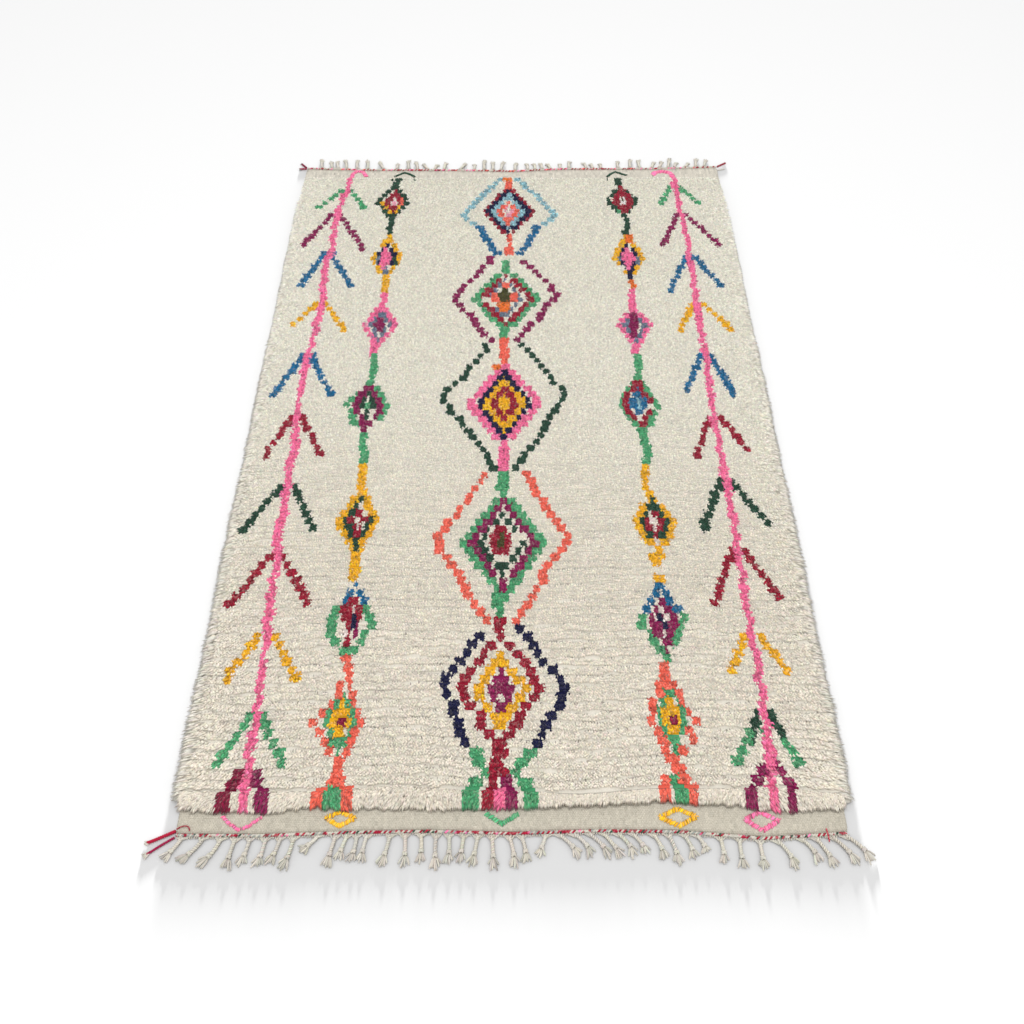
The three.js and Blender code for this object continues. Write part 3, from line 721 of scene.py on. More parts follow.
def grains(path: Array, radius: Array, colour: Array, spin: Array) -> Shape:
    """Closed strands that swell from a point at the root and taper to a point at the tip.

    A ring's point is its path's point + radius * (cos(a) * across + sin(a) * over), where across is
    square to the path and nearly level, over is square to both, and a starts from the strand's spin.

    Args:
        path: the paths' points, (strands, stops, 3).
        radius: the radius at each stop between the ends, (strands, stops - 2) or fewer axes.
        colour: the colour at each stop, (strands, stops, 3) or fewer axes.
        spin: where each strand's first corner stands, (strands,).

    Returns:
        The shape, with one island for each strand.
    """
    n, stops, _ = path.shape
    rings, sides = stops - 2, 3
    radius = np.broadcast_to(radius, (n, rings))
    colour = np.broadcast_to(colour, (n, stops, 3))
    way = path[:, 2:] - path[:, :-2]
    way = way / np.linalg.norm(way, axis=2, keepdims=True)
    across = np.cross(way, [0.0, 0.6, 0.8])
    across /= np.maximum(np.linalg.norm(across, axis=2, keepdims=True), 1e-6)
    over = np.cross(way, across)
    a = (2 * np.pi * (np.arange(sides) / sides) + spin[:, None])[:, None, :, None]
    ring = np.cos(a) * across[:, :, None] + np.sin(a) * over[:, :, None]
    ring = path[:, 1:-1, None] + radius[..., None, None] * ring
    points = np.concatenate([path[:, :1], ring.reshape(n, -1, 3), path[:, -1:]], 1)
    first = np.arange(n)[:, None] * (2 + rings * sides)
    j = np.arange(sides)
    k = (j + 1) % sides
    start = np.stack([0 * j, 1 + k, 1 + j], -1)
    last = 1 + (rings - 1) * sides
    end = np.stack([last + j, last + k, 0 * j + last + sides], -1)
    thin = (first[..., None] + np.concatenate([start, end])).reshape(-1, 3)
    low = (1 + sides * np.arange(rings - 1))[:, None]
    wall = np.stack([low + j, low + k, low + sides + k, low + sides + j], -1).reshape(-1, 4)
    wide = (first[..., None] + wall).reshape(-1, 4)
    # Heights up the map: a ring's share of the stops, with the two points at its ends.
    up = np.arange(stops) / (stops - 1)
    left = j / sides
    thin_place = np.concatenate([
        np.stack([np.stack([left + 0.5 / sides, 0 * left], -1),
                  np.stack([left + 1 / sides, 0 * left + up[1]], -1),
                  np.stack([left, 0 * left + up[1]], -1)], 1),
        np.stack([np.stack([left, 0 * left + up[-2]], -1),
                  np.stack([left + 1 / sides, 0 * left + up[-2]], -1),
                  np.stack([left + 0.5 / sides, 0 * left + 1], -1)], 1)])
    thin_shade = np.concatenate([
        np.broadcast_to(np.stack([colour[:, 0], colour[:, 1], colour[:, 1]], 1)[:, None], (n, sides, 3, 3)),
        np.broadcast_to(np.stack([colour[:, -2], colour[:, -2], colour[:, -1]], 1)[:, None],
                        (n, sides, 3, 3))], 1)
    ids = np.arange(n)
    faces, colours = [thin], [thin_shade.reshape(-1, 3, 3)]
    places = [np.broadcast_to(thin_place, (n, *thin_place.shape)).reshape(-1, 3, 2)]
    islands = [np.repeat(ids, 2 * sides)]
    if rings > 1:
        y0, y1 = up[1:-2][:, None] + 0 * left, up[2:-1][:, None] + 0 * left
        x0 = left + 0 * y0
        x1 = x0 + 1 / sides
        wall_place = np.stack([np.stack([x0, y0], -1), np.stack([x1, y0], -1), np.stack([x1, y1], -1),
                               np.stack([x0, y1], -1)], -2).reshape(-1, 4, 2)
        c0, c1 = colour[:, 1:-2], colour[:, 2:-1]
        wall_shade = np.broadcast_to(np.stack([c0, c0, c1, c1], 2)[:, :, None], (n, rings - 1, sides, 4, 3))
        faces.append(wide)
        colours.append(wall_shade.reshape(-1, 4, 3))
        places.append(np.broadcast_to(wall_place, (n, *wall_place.shape)).reshape(-1, 4, 2))
        islands.append(np.repeat(ids, (rings - 1) * sides))
    return Shape(points.reshape(-1, 3), faces, colours, places, islands)


def twisted(path: Array, reach: float, turns: Array, start: float, plies: int = 2) -> Array:
    """The plies' paths round a core path.

    A ply's point is the core's + reach * (cos(t) * across + sin(t) * up), where t grows evenly along
    the path and the plies share the circle evenly.

    Args:
        path: the core, (tubes, stops, 3).
        reach: from the core to the middle of a ply.
        turns: turns made at each stop, (stops,) or (tubes, stops).
        start: the first ply's angle at the start.
        plies: how many.

    Returns:
        Paths of shape (tubes * plies, stops, 3), a tube's plies next to each other.
    """
    way = np.gradient(path, axis=1)
    across = np.cross(way, [0.0, 0.0, 1.0])
    across /= np.maximum(np.linalg.norm(across, axis=2, keepdims=True), 1e-6)
    turn = 2 * np.pi * np.broadcast_to(turns, path.shape[:2]) + start
    made = [
        path + reach * (np.cos(turn + s)[..., None] * across + np.sin(turn + s)[..., None] * [0, 0, 1])
        for s in 2 * np.pi * np.arange(plies) / plies
    ]
    return np.stack(made, 1).reshape(-1, *path.shape[1:])


def mesh_of(name: str, shape: Shape) -> bpy.types.Mesh:
    """Writes a shape as a mesh in metres, with its colours and its map.

    Args:
        name: the mesh's name.
        shape: what to write.

    Returns:
        The mesh, smooth shaded.
    """
    mesh = bpy.data.meshes.new(name)
    mesh.vertices.add(len(shape.points))
    mesh.vertices.foreach_set("co", (shape.points * MM).astype(np.float32).ravel())
    sizes = np.concatenate([np.full(len(f), f.shape[1]) for f in shape.faces])
    corners = np.concatenate([f.ravel() for f in shape.faces])
    mesh.loops.add(len(corners))
    mesh.loops.foreach_set("vertex_index", corners.astype(np.int32))
    mesh.polygons.add(len(sizes))
    mesh.polygons.foreach_set("loop_start", (np.cumsum(sizes) - sizes).astype(np.int32))
    mesh.update(calc_edges=True)
    colour = np.concatenate([np.reshape(c, (-1, 3)) for c in shape.colours])
    layer = mesh.color_attributes.new("wool", "FLOAT_COLOR", "CORNER")
    rgba = np.concatenate([np.clip(colour, 0, 1), np.ones((len(colour), 1))], 1)
    layer.data.foreach_set("color", rgba.astype(np.float32).ravel())
    island = np.repeat(np.concatenate(shape.islands), sizes)
    grid = int(np.ceil(np.sqrt(island.max() + 1)))
    place = np.concatenate([np.reshape(p, (-1, 2)) for p in shape.places])
    place = (np.stack([island % grid, island // grid], 1) + 0.05 + 0.9 * place) / grid
    mesh.uv_layers.new(name="OFBake").data.foreach_set("uv", place.astype(np.float32).ravel())
    mesh.validate()
    mesh.shade_smooth()
    return mesh


def piece_of(name: str, shape: Shape, finish: bpy.types.Material, node: str) -> bpy.types.Object:
    """Makes a piece that stands for a node of the solids and rides on the one body.

    Args:
        name: the piece's name.
        shape: its surface.
        finish: its material.
        node: the node that it stands for.

    Returns:
        The piece's object.
    """
    mesh = mesh_of(name, shape)
    mesh.materials.append(finish)
    piece = bpy.data.objects.new(name, mesh)
    bpy.context.scene.collection.objects.link(piece)
    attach(piece, "root")
    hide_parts(node)
    triangles = sum(len(f) * (f.shape[1] - 2) for f in shape.faces)
    log.info("%s: %d triangles, for %s", name, triangles, node)
    return piece


# Spread of the brightness of dyed wool, spread of all tints, and the most that a light dye fades
DYED_SPREAD = 0.26
TINT_SPREAD = 0.02
MOST_FADE = 0.3


def dyed(yarn: Array, rng: np.random.Generator, spread: float | Array = 0.05) -> Array:
    """Each strand's colour: undyed wool varies a little in brightness, dyed wool more, and light dyes fade.

    Args:
        yarn: numbers of dyes, of any shape.
        rng: the draw.
        spread: how far the brightness of undyed wool varies.

    Returns:
        Linear colours, one axis longer.
    """
    coloured = yarn < NUMBER[Yarn.ECRU]
    coloured &= yarn > NUMBER[CREAM]
    bright = 1 + np.where(coloured, DYED_SPREAD, spread) * rng.standard_normal(yarn.shape)
    tint = 1 + TINT_SPREAD * rng.standard_normal((*yarn.shape, 3))
    colour = DYES[yarn] * np.maximum(bright, 0.3)[..., None] * tint
    fade = np.where(coloured, MOST_FADE * rng.random(yarn.shape) ** 5, 0.0)
    fade = (fade * np.clip(6 * DYES[yarn].mean(-1), 0.25, 1))[..., None]
    return colour + fade * (0.8 * DYES[NUMBER[CREAM]] - colour)


# Pile


@dataclass
class Pile:
    """Rows of cut knots: even toward the far end, shaggier and parted row from row toward the near end."""

    plan: Plan
    chart: Chart
    high: float = 22.6
    far_thick: float = 3.9
    near_thick: float = 4.0
    bed_high: float = 17.6
    foot_high: float = 4.6
    last_end: float = 21.0
    corner_draw: float = 22.0
    shag_from: float = 300.0
    shag_over: float = 1300.0
    parted_over: float = 1350.0

    def shag(self, y: Array) -> Array:
        """How shaggy the pile is at y, from 0 far to 1 near: a smooth step over shag_over from shag_from."""
        t = np.clip((self.shag_from - np.asarray(y)) / self.shag_over, 0, 1)
        return t * t * (3 - 2 * t)

    def parting(self, x: Array, y: Array) -> Array:
        """How far the rows part at a place, from 0 to 1: slow waves cut off below, so that the lines break.

        The waves run three times as fast along the rug as across it, so that each row parts elsewhere.
        """
        t = np.clip((self.shag_from - np.asarray(y)) / self.parted_over, 0, 1)
        broken = 0.35 + 0.45 * t + 0.9 * drift(x, 3 * y, 12, 130) + 0.55 * drift(x, 3 * y, 13, 44)
        return t * t * (3 - 2 * t) * np.clip(broken, 0, 1)

    def edge(self, y: Array) -> Array:
        """Half width at which the rim hangs: the plan's, drawn in by corner_draw at the far corners."""
        return self.plan.rim_half(y) - self.corner_draw * self.corner(y)

    def corner(self, y: Array) -> Array:
        """How near a place is to the far corners, from 0 to 1 along the last 180 mm."""
        return np.clip((np.asarray(y) - 1000) / 180, 0, 1)

    def yarn_at(self, row: Array, x: Array, back: Array, rng: np.random.Generator) -> Array:
        """The yarn of the knot at a place, read a little aside at random so that edges fray.

        Args:
            row: each end's row.
            x: its place across.
            back: how far back of the crest line it stands.
            rng: the draw.

        Returns:
            Numbers of dyes.
        """
        plan = self.plan
        stray = back + 1.8 * rng.standard_normal(x.shape)
        line = np.clip(row + np.floor(stray / plan.row).astype(int), 0, plan.rows - 1)
        half = plan.ground_half(plan.first_crest + plan.row * line) - 2
        moved = x + 1.4 * rng.standard_normal(x.shape)

        def knot(aside: Array | float) -> Array:
            """The yarn of the knot at a distance aside."""
            share = ((moved + aside) / half + 1) / 2
            return self.chart.yarn[line, np.clip(share * plan.knots, 0, plan.knots - 1).astype(int)]

        # A block's corners round off: an end far from its row's middle is cream when a knot beside it is.
        middle = 0.5 * plan.row
        reach = 3.4 * ((back - middle) / middle) ** 2
        return np.where((knot(-reach) == 0) | (knot(reach) == 0), 0, knot(0.0))

    def spots(self, rows: Array, each: int, reach: float, rng: np.random.Generator) -> tuple[Array, ...]:
        """Where the yarn ends of some rows stand, in a zigzag over each knot's place.

        Args:
            rows: the rows.
            each: ends to a knot.
            reach: how far back from the crest line the last end stands.
            rng: the draw.

        Returns:
            X, the crest line's Y, how far back of it each end stands, and its yarn's number.
        """
        shape = (len(rows), self.plan.knots, each)
        k = np.arange(each)
        pitch = self.chart.x[rows, 1] - self.chart.x[rows, 0]
        zigzag = np.where((k + rows[:, None]) % 2, 0.25, -0.25) * pitch[:, None]
        x = self.chart.x[rows][..., None] + zigzag[:, None] + rng.uniform(-1.4, 1.4, shape)
        back = np.broadcast_to(1.5 + (reach - 1.5) * k / (each - 1), shape) + rng.uniform(-1.3, 1.3, shape)
        crest = self.plan.crest(np.broadcast_to(rows[:, None, None], shape), x)
        yarn = self.yarn_at(np.broadcast_to(rows[:, None, None], shape), x, back, rng)
        return x, crest, back, yarn

    def sway(self, x: Array, y: Array) -> tuple[Array, Array, Array]:
        """How neighbours stray together at a place, by slow waves.

        Args:
            x: places across.
            y: places along.

        Returns:
            The strays across, along and up. Near the rims the ends reach out and down.
        """
        half = self.plan.ground_half(y)
        rim = np.clip((np.abs(x) - (half - 30)) / 30, 0, 1) ** 1.5
        near = np.clip((-1000 - y) / 200, 0, 1)
        fan = 7 * (x / 780) ** 3 * (1 + 1.8 * near) + (15 - 27 * self.corner(y)) * rim * np.sign(x)
        across = 1.8 * drift(x, y, 3, 150) + 1.4 * drift(x, y, 4, 42) + fan
        along = 1.6 * drift(x, y, 8, 55) + 1.0 * drift(x, y, 9, 24)
        up = 0.8 * drift(x, y, 5, 95) + 0.5 * drift(x, y, 6, 30) - 5 * rim
        return across, along, up

    def tufts(self, first: int, last: int, each: int) -> Shape:
        """Cut ends in some rows: a root in the bed, a ring below the top, and a tip that leans near.

        Args:
            first: the first row.
            last: the row after the last.
            each: ends to a knot.

        Returns:
            The tufts.
        """
        rng = np.random.default_rng(1000 + first)
        x, crest, back, yarn = self.spots(np.arange(first, last), each, self.last_end, rng)
        across, along, up = self.sway(x, crest)
        shag, part = self.shag(crest), self.parting(x, crest)

        def stray(much: float | Array) -> Array:
            """A random stray for each tuft."""
            return much * rng.standard_normal(x.shape)

        # The ends of one knot share a shade.
        light = rng.standard_normal((*x.shape[:2], 1))
        scallop = 2.6 * drift(x, 3 * crest, 14, 37) + 1.8 * drift(x, 3 * crest, 15, 90)
        y = crest + back + shag * (1.5 * along + scallop) + part * (1.7 - 0.14 * back)
        # Where rows part, a gap opens, and a row's rear ends lie sunk in it, painted dark as shade.
        rear = part * np.clip((back - 17.6) / 2, 0, 1)
        sink = 5.4 * rear + (3.4 - shag) * (rng.random(x.shape) < 0.075 - 0.03 * shag)
        top = self.high + (0.5 + 0.3 * shag) * up + stray(0.5 - 0.1 * shag) - sink
        lean = 3.0 + 3.0 * shag ** 3 + along * (0.6 + 0.6 * shag)
        path = np.stack([
            np.stack([x - 0.3 * across, y + 0.4 * lean, top - 10], -1),
            np.stack([x + 0.3 * across, y, top - 2.2 + 0.3 * shag], -1),
            np.stack([x + 0.8 * across + stray(1.0), y - 0.75 * lean + stray(0.9), top], -1),
        ], -2).reshape(-1, 3, 3)
        thick = (self.far_thick + (self.near_thick - self.far_thick) * shag) * rng.uniform(0.8, 1.15,
                                                                                           x.shape)
        thick = thick * (1 + 0.5 * rear)
        # Toward the near end the wool is warmer; painted shade darkens each row from its tips back, and
        # darkens the sunk rear ends most.
        even = np.array([0.948, 0.973, 0.967]) + shag[..., None] * [-0.034, -0.080, -0.099]
        even = even * (1 + 0.025 * shag * light - 0.004 * shag * (back - 10) - 0.52 * rear)[..., None]
        # Painted shade darkens each end toward its root, and a painted highlight lightens its tip.
        stops = np.array([0.9, 1.0, 1.03])[:, None]
        shade = (dyed(yarn, rng, 0.1 - 0.02 * shag) * even).reshape(-1, 1, 3) * stops
        return grains(path, thick.reshape(-1, 1), shade, rng.uniform(0, 2.1, len(path)))

    def front_row(self, layers: int = 9, each: int = 3) -> Shape:
        """The front row lies over the bare band: long ends side by side, the lowest first.

        A tip stands at share s of the way down: s * fall before the crest line. The height at distance b
        before it is 5.6 + 17.2 * (1 - (b / fall) to the power 1.6), and 22.8 behind the line.

        Args:
            layers: how many.
            each: ends to each knot of a layer.

        Returns:
            The ends.
        """
        rng = np.random.default_rng(21)
        made = []
        for level in np.linspace(1.0, -0.35, layers):
            shape = (self.plan.knots, each)
            x = self.chart.x[0][:, None] + np.linspace(-2.4, 2.4, each) + rng.uniform(-1.2, 1.2, shape)
            yarn = np.repeat(self.chart.front[:, None], each, 1)
            crest = self.plan.crest(0, x)
            clump, light = rng.standard_normal((2, self.plan.knots, 1))
            fall = crest - np.interp(x, [p[0] for p in FRONT_TIPS], [p[1] for p in FRONT_TIPS])
            fall = fall + 3.0 * drift(x, x, 31, 40) + 1.0 * clump

            def height(before: Array) -> Array:
                """The row's height at a distance before its crest line."""
                return 5.6 + 17.2 * (1 - np.clip(before / fall, 0, 1) ** 1.6)

            share = np.minimum(level + rng.uniform(-0.1, 0.1, x.shape), 1.02)
            tip = share * fall
            root = np.maximum(tip - 25, -20)
            ring = 0.66 * tip + 0.34 * root
            lean = 9 * (x / 770) ** 3 + 5 * drift(x, 0 * x, 33, 190) - 1.5 + 1.6 * clump
            lean = lean + rng.standard_normal(x.shape)
            stray = 0.7 * rng.standard_normal(x.shape)
            sunk = 2.0 + 8.0 * np.clip(-root / 20, 0, 1)
            path = np.stack([
                np.stack([x - lean, crest - root, height(root) - sunk], -1),
                np.stack([x + 0.25 * lean, crest - ring, height(ring) + 0.4 + stray], -1),
                np.stack([x + lean, crest - tip, height(tip) - 0.8 + stray], -1),
            ], -2).reshape(-1, 3, 3)
            path[..., 2] = np.maximum(path[..., 2], 5.2)
            thick = 2.5 * rng.uniform(0.8, 1.15, (len(path), 1))
            # Painted shade: the front row's wool is darker than the pile's to offset the open light that it
            # catches, darkest at the roots where the ends go under, and a little darker at the tips against
            # their highlight.
            shade = dyed(yarn, rng, 0.1) * (0.86 + 0.03 * light)[..., None] * [1.0, 0.97, 0.94]
            shade = shade.reshape(-1, 1, 3) * np.array([0.5, 1.0, 0.9])[:, None]
            made.append(grains(path, thick, shade, rng.uniform(0, 2.1, len(path))))
        return join(made)

    def rims(self, each: int = 26) -> Shape:
        """Locks that reach out past both sides and droop to the floor.

        Args:
            each: strands to each row and side.

        Returns:
            The locks.
        """
        rng = np.random.default_rng(22)
        side = np.array([-1.0, 1.0])[:, None, None]
        shape = (2, self.plan.rows, each)
        row = np.broadcast_to(np.arange(self.plan.rows)[None, :, None], shape)
        y = self.plan.first_crest + self.plan.row * (row + rng.uniform(0, 1, shape))
        rim = self.edge(y)
        out = rng.uniform(-6, 7, shape) + 3.0 * drift(y, side * 400, 23, 90)
        lean = -rng.uniform(1, 10, shape)
        root = self.plan.ground_half(y) - rng.uniform(4, 22, shape)
        high = rng.uniform(8, 21, shape)
        path = np.stack([
            np.stack([side * root, y + 3, high], -1),
            np.stack([side * (0.45 * root + 0.55 * rim), y + 0.4 * lean, high + 1.5], -1),
            np.stack([side * (rim + out), y + lean, np.maximum(high - rng.uniform(3, 10, shape), 2.0)], -1),
        ], -2).reshape(-1, 3, 3)
        edge = np.where(side < 0, 0, self.plan.knots - 1)
        yarn = self.chart.yarn[row, np.broadcast_to(edge, shape)]
        thick = 3.0 * rng.uniform(0.8, 1.1, (len(path), 1))
        shade = 0.81 * dyed(yarn, rng, 0.08).reshape(-1, 1, 3)
        return grains(path, thick, shade, rng.uniform(0, 2.1, len(path)))

    def bed(self) -> Shape:
        """What shows between the strands: a closed slab whose top has one quad for each knot.

        Its lines lie 2 mm behind each crest line, about bed_high up with slow waves, and its rim slopes to
        the cloth.

        Returns:
            The slab.
        """
        plan = self.plan
        rows, cols = plan.rows, plan.knots
        u = np.arange(cols + 1) / cols * 2 - 1
        y0 = plan.first_crest + plan.row * np.arange(rows + 1) + 2.0
        y0 = np.concatenate([[plan.foot_near], y0[:-1], [1195.0, plan.foot_far]])
        inner = (plan.ground_half(y0) - 4)[:, None] * u
        y = y0[:, None] + plan.wander(inner, y0[:, None])
        z = self.bed_high + 0.8 * drift(inner, y, 5, 95)
        z[0] = z[-1] = self.foot_high
        z[1] = 15
        level = np.array([self.foot_high] + [7.5] * (rows + 1) + [self.foot_high])
        edges = []
        for side, col in ((-1, 0), (1, cols)):
            rim = side * (self.edge(y0) - 3)
            foot = side * plan.ground_half(y0)
            rim[[0, -1]] = foot[[0, -1]] - 2 * side
            edges.append((np.stack([foot, y[:, col], np.full(len(y0), self.foot_high)], -1),
                          np.stack([rim, y[:, col] - 2, level], -1)))
        grid = np.stack([inner, y, z], -1)
        points = np.concatenate([edges[0][0][:, None], edges[0][1][:, None], grid,
                                 edges[1][1][:, None], edges[1][0][:, None]], 1)
        lines, wide = points.shape[:2]
        at = np.arange(lines * wide).reshape(lines, wide)
        quads = np.stack([at[:-1, :-1], at[:-1, 1:], at[1:, 1:], at[1:, :-1]], -1).reshape(-1, 4)
        pick_row = np.clip(np.arange(lines - 1) - 1, 0, rows - 1)
        pick_col = np.clip(np.arange(wide - 1) - 2, 0, cols - 1)
        # The bed's colour is the knots' dye darkened to 0.78, as painted shade between the strands; its
        # underside and ends take cream darkened alike.
        shade = 0.78 * DYES[self.chart.yarn[pick_row][:, pick_col]].reshape(-1, 1, 3)
        place = np.stack(np.meshgrid(np.arange(wide) / wide, np.arange(lines) / (lines + 2)), -1)
        corner = np.stack([place[:-1, :-1], place[:-1, 1:], place[1:, 1:], place[1:, :-1]], -2)
        under = np.stack([at[1:-2, 0], at[2:-1, 0], at[2:-1, -1], at[1:-2, -1]], -1)
        ends = [np.concatenate([at[0, ::-1], at[1, [0, -1]]]), np.concatenate([at[-2, [-1, 0]], at[-1]])]
        dark, spot = 0.78 * DYES[0], np.array([0.5, 0.995])
        return Shape(
            points.reshape(-1, 3),
            [quads, under, *[e[None] for e in ends]],
            [np.broadcast_to(shade, (len(quads), 4, 3)), np.broadcast_to(dark, (len(under), 4, 3)),
             *[np.broadcast_to(dark, (1, len(e), 3)) for e in ends]],
            [corner.reshape(-1, 4, 2), np.broadcast_to(spot, (len(under), 4, 2)),
             *[np.broadcast_to(spot, (1, len(e), 2)) for e in ends]],
            [np.zeros(len(quads), int), np.zeros(len(under), int), *[np.zeros(1, int)] * 2],
        )


# Ground cloth and its stitches


@dataclass
class Cloth:
    """The woven ground: a closed sheet, bare at both ends, with the knots' backs on its underside."""

    plan: Plan
    chart: Chart
    thick: float = 4.0

    def band_z(self, x: Array, y: Array) -> Array:
        """Height of the bare band's top: the thickness and slow waves of 0.7 mm."""
        return self.thick + 0.45 * drift(x, y, 41, 120) + 0.25 * drift(x, y, 42, 28)

    def shape(self) -> Shape:
        """Two grids that share their rims: below all over, above only where the bands are bare.

        Returns:
            The sheet, with its top and its underside on two halves of the map.
        """
        plan, cols = self.plan, self.plan.knots
        rows = plan.first_crest + plan.row * (np.arange(plan.rows) + 1.0)
        near = np.array([-1280.0, -1268, -1256, -1243, -1230, -1216, -1200])
        far = np.array([1206.0, 1222, 1238, 1254, 1272])
        y0 = np.concatenate([near, rows[:-1], far])
        lines, n_near, n_far = len(y0), len(near), len(far)
        u = np.arange(cols + 1) / cols * 2 - 1
        x = plan.ground_half(y0)[:, None] * u
        x[0], x[-1] = (plan.half_near - 2) * u, (plan.half_far - 2) * u
        # The bands' lines spread evenly between the pile's foot and the cord's own line.
        y = np.repeat(y0[:, None], cols + 1, 1)
        edge_near = plan.cord_line(False, x[0]) + plan.cord_clear
        edge_far = plan.cord_line(True, x[-1]) - plan.cord_clear
        share = ((near[-1] - near) / (near[-1] - near[0]))[:, None]
        y[:n_near] = near[-1] + share * (edge_near - near[-1])
        share = ((far - far[0]) / (far[-1] - far[0]))[:, None]
        y[-n_far:] = far[0] + share * (edge_far - far[0])
        low = np.stack([x, y, np.zeros_like(x)], -1)
        high = np.stack([x, y, self.band_z(x, y)], -1)
        a = np.arange(lines * (cols + 1)).reshape(lines, cols + 1)
        b_near = a.size + np.arange(n_near * (cols + 1)).reshape(n_near, cols + 1)
        b_far = b_near[-1, -1] + 1 + np.arange(n_far * (cols + 1)).reshape(n_far, cols + 1)
        mid = lines - n_near - n_far
        b_mid = b_far[-1, -1] + 1 + np.arange(mid * 2).reshape(mid, 2)
        high_mid = high[n_near:-n_far][:, [0, -1]]
        points = np.concatenate([p.reshape(-1, 3) for p in (low, high[:n_near], high[-n_far:], high_mid)])
        left = np.concatenate([b_near[:, 0], b_mid[:, 0], b_far[:, 0]])
        right = np.concatenate([b_near[:, -1], b_mid[:, 1], b_far[:, -1]])
        faces, places, colours = [], [], []

        def add(face: Array, below: bool, shade: Array) -> None:
            """Keeps faces with their colour, and their place on the map's left half, or right when below.

            Args:
                face: the faces.
                below: whether they look down.
                shade: their colour.
            """
            at = points[face]
            spot = np.stack([(at[..., 0] + 800) / 1600, (at[..., 1] + 1300) / 2600], -1)
            faces.append(face)
            places.append(spot * [0.49, 1.0] + ([0.51, 0.0] if below else [0.0, 0.0]))
            colours.append(np.broadcast_to(shade, at.shape))

        def grid(g: Array) -> Array:
            """A grid's cells as faces."""
            return np.stack([g[:-1, :-1], g[:-1, 1:], g[1:, 1:], g[1:, :-1]], -1).reshape(-1, 4)

        # Each line of knots colours half a pitch on either side of it.
        row = np.clip(np.round((y0 - plan.first_crest) / plan.row - 1).astype(int), 0, plan.rows - 1)
        bare = (y0 < -1190) | (y0 > 1200)
        number = np.where(bare[:, None], NUMBER[Yarn.BAND], self.chart.yarn[row])
        number = np.concatenate([number, number[:, -1:]], 1)
        flipped = grid(a)[:, ::-1]
        rng = np.random.default_rng(45)
        band, rear = DYES[NUMBER[Yarn.BAND]], 0.74 * DYES[NUMBER[CREAM]]

        def slubs(shade: Array, much: float, face: Array) -> Array:
            """A shade that differs a little from face to face."""
            return shade * (1 + much * rng.standard_normal((len(face), 1, 1)))

        add(flipped, True, DYES[number.ravel()][flipped])
        add(grid(b_near), False, slubs(band, 0.05, grid(b_near)))
        add(grid(b_far), False, slubs(rear, 0.08, grid(b_far)))
        add(np.stack([left[n_near:-n_far - 1], right[n_near:-n_far - 1],
                      right[n_near + 1:-n_far], left[n_near + 1:-n_far]], -1), False, band)
        add(np.concatenate([b_near[-1], b_mid[0, ::-1]])[None], False, band)
        add(np.concatenate([b_mid[-1], b_far[0, ::-1]])[None], False, rear)
        add(np.stack([a[1:, 0], a[:-1, 0], left[:-1], left[1:]], -1), False, band)
        add(np.stack([a[:-1, -1], a[1:, -1], right[1:], right[:-1]], -1), False, band)
        add(np.stack([a[0, :-1], a[0, 1:], b_near[0, 1:], b_near[0, :-1]], -1), False, band)
        add(np.stack([a[-1, 1:], a[-1, :-1], b_far[-1, :-1], b_far[-1, 1:]], -1), False, rear)
        islands = [np.zeros(len(f), int) for f in faces]
        return Shape(points, faces, colours, places, islands)


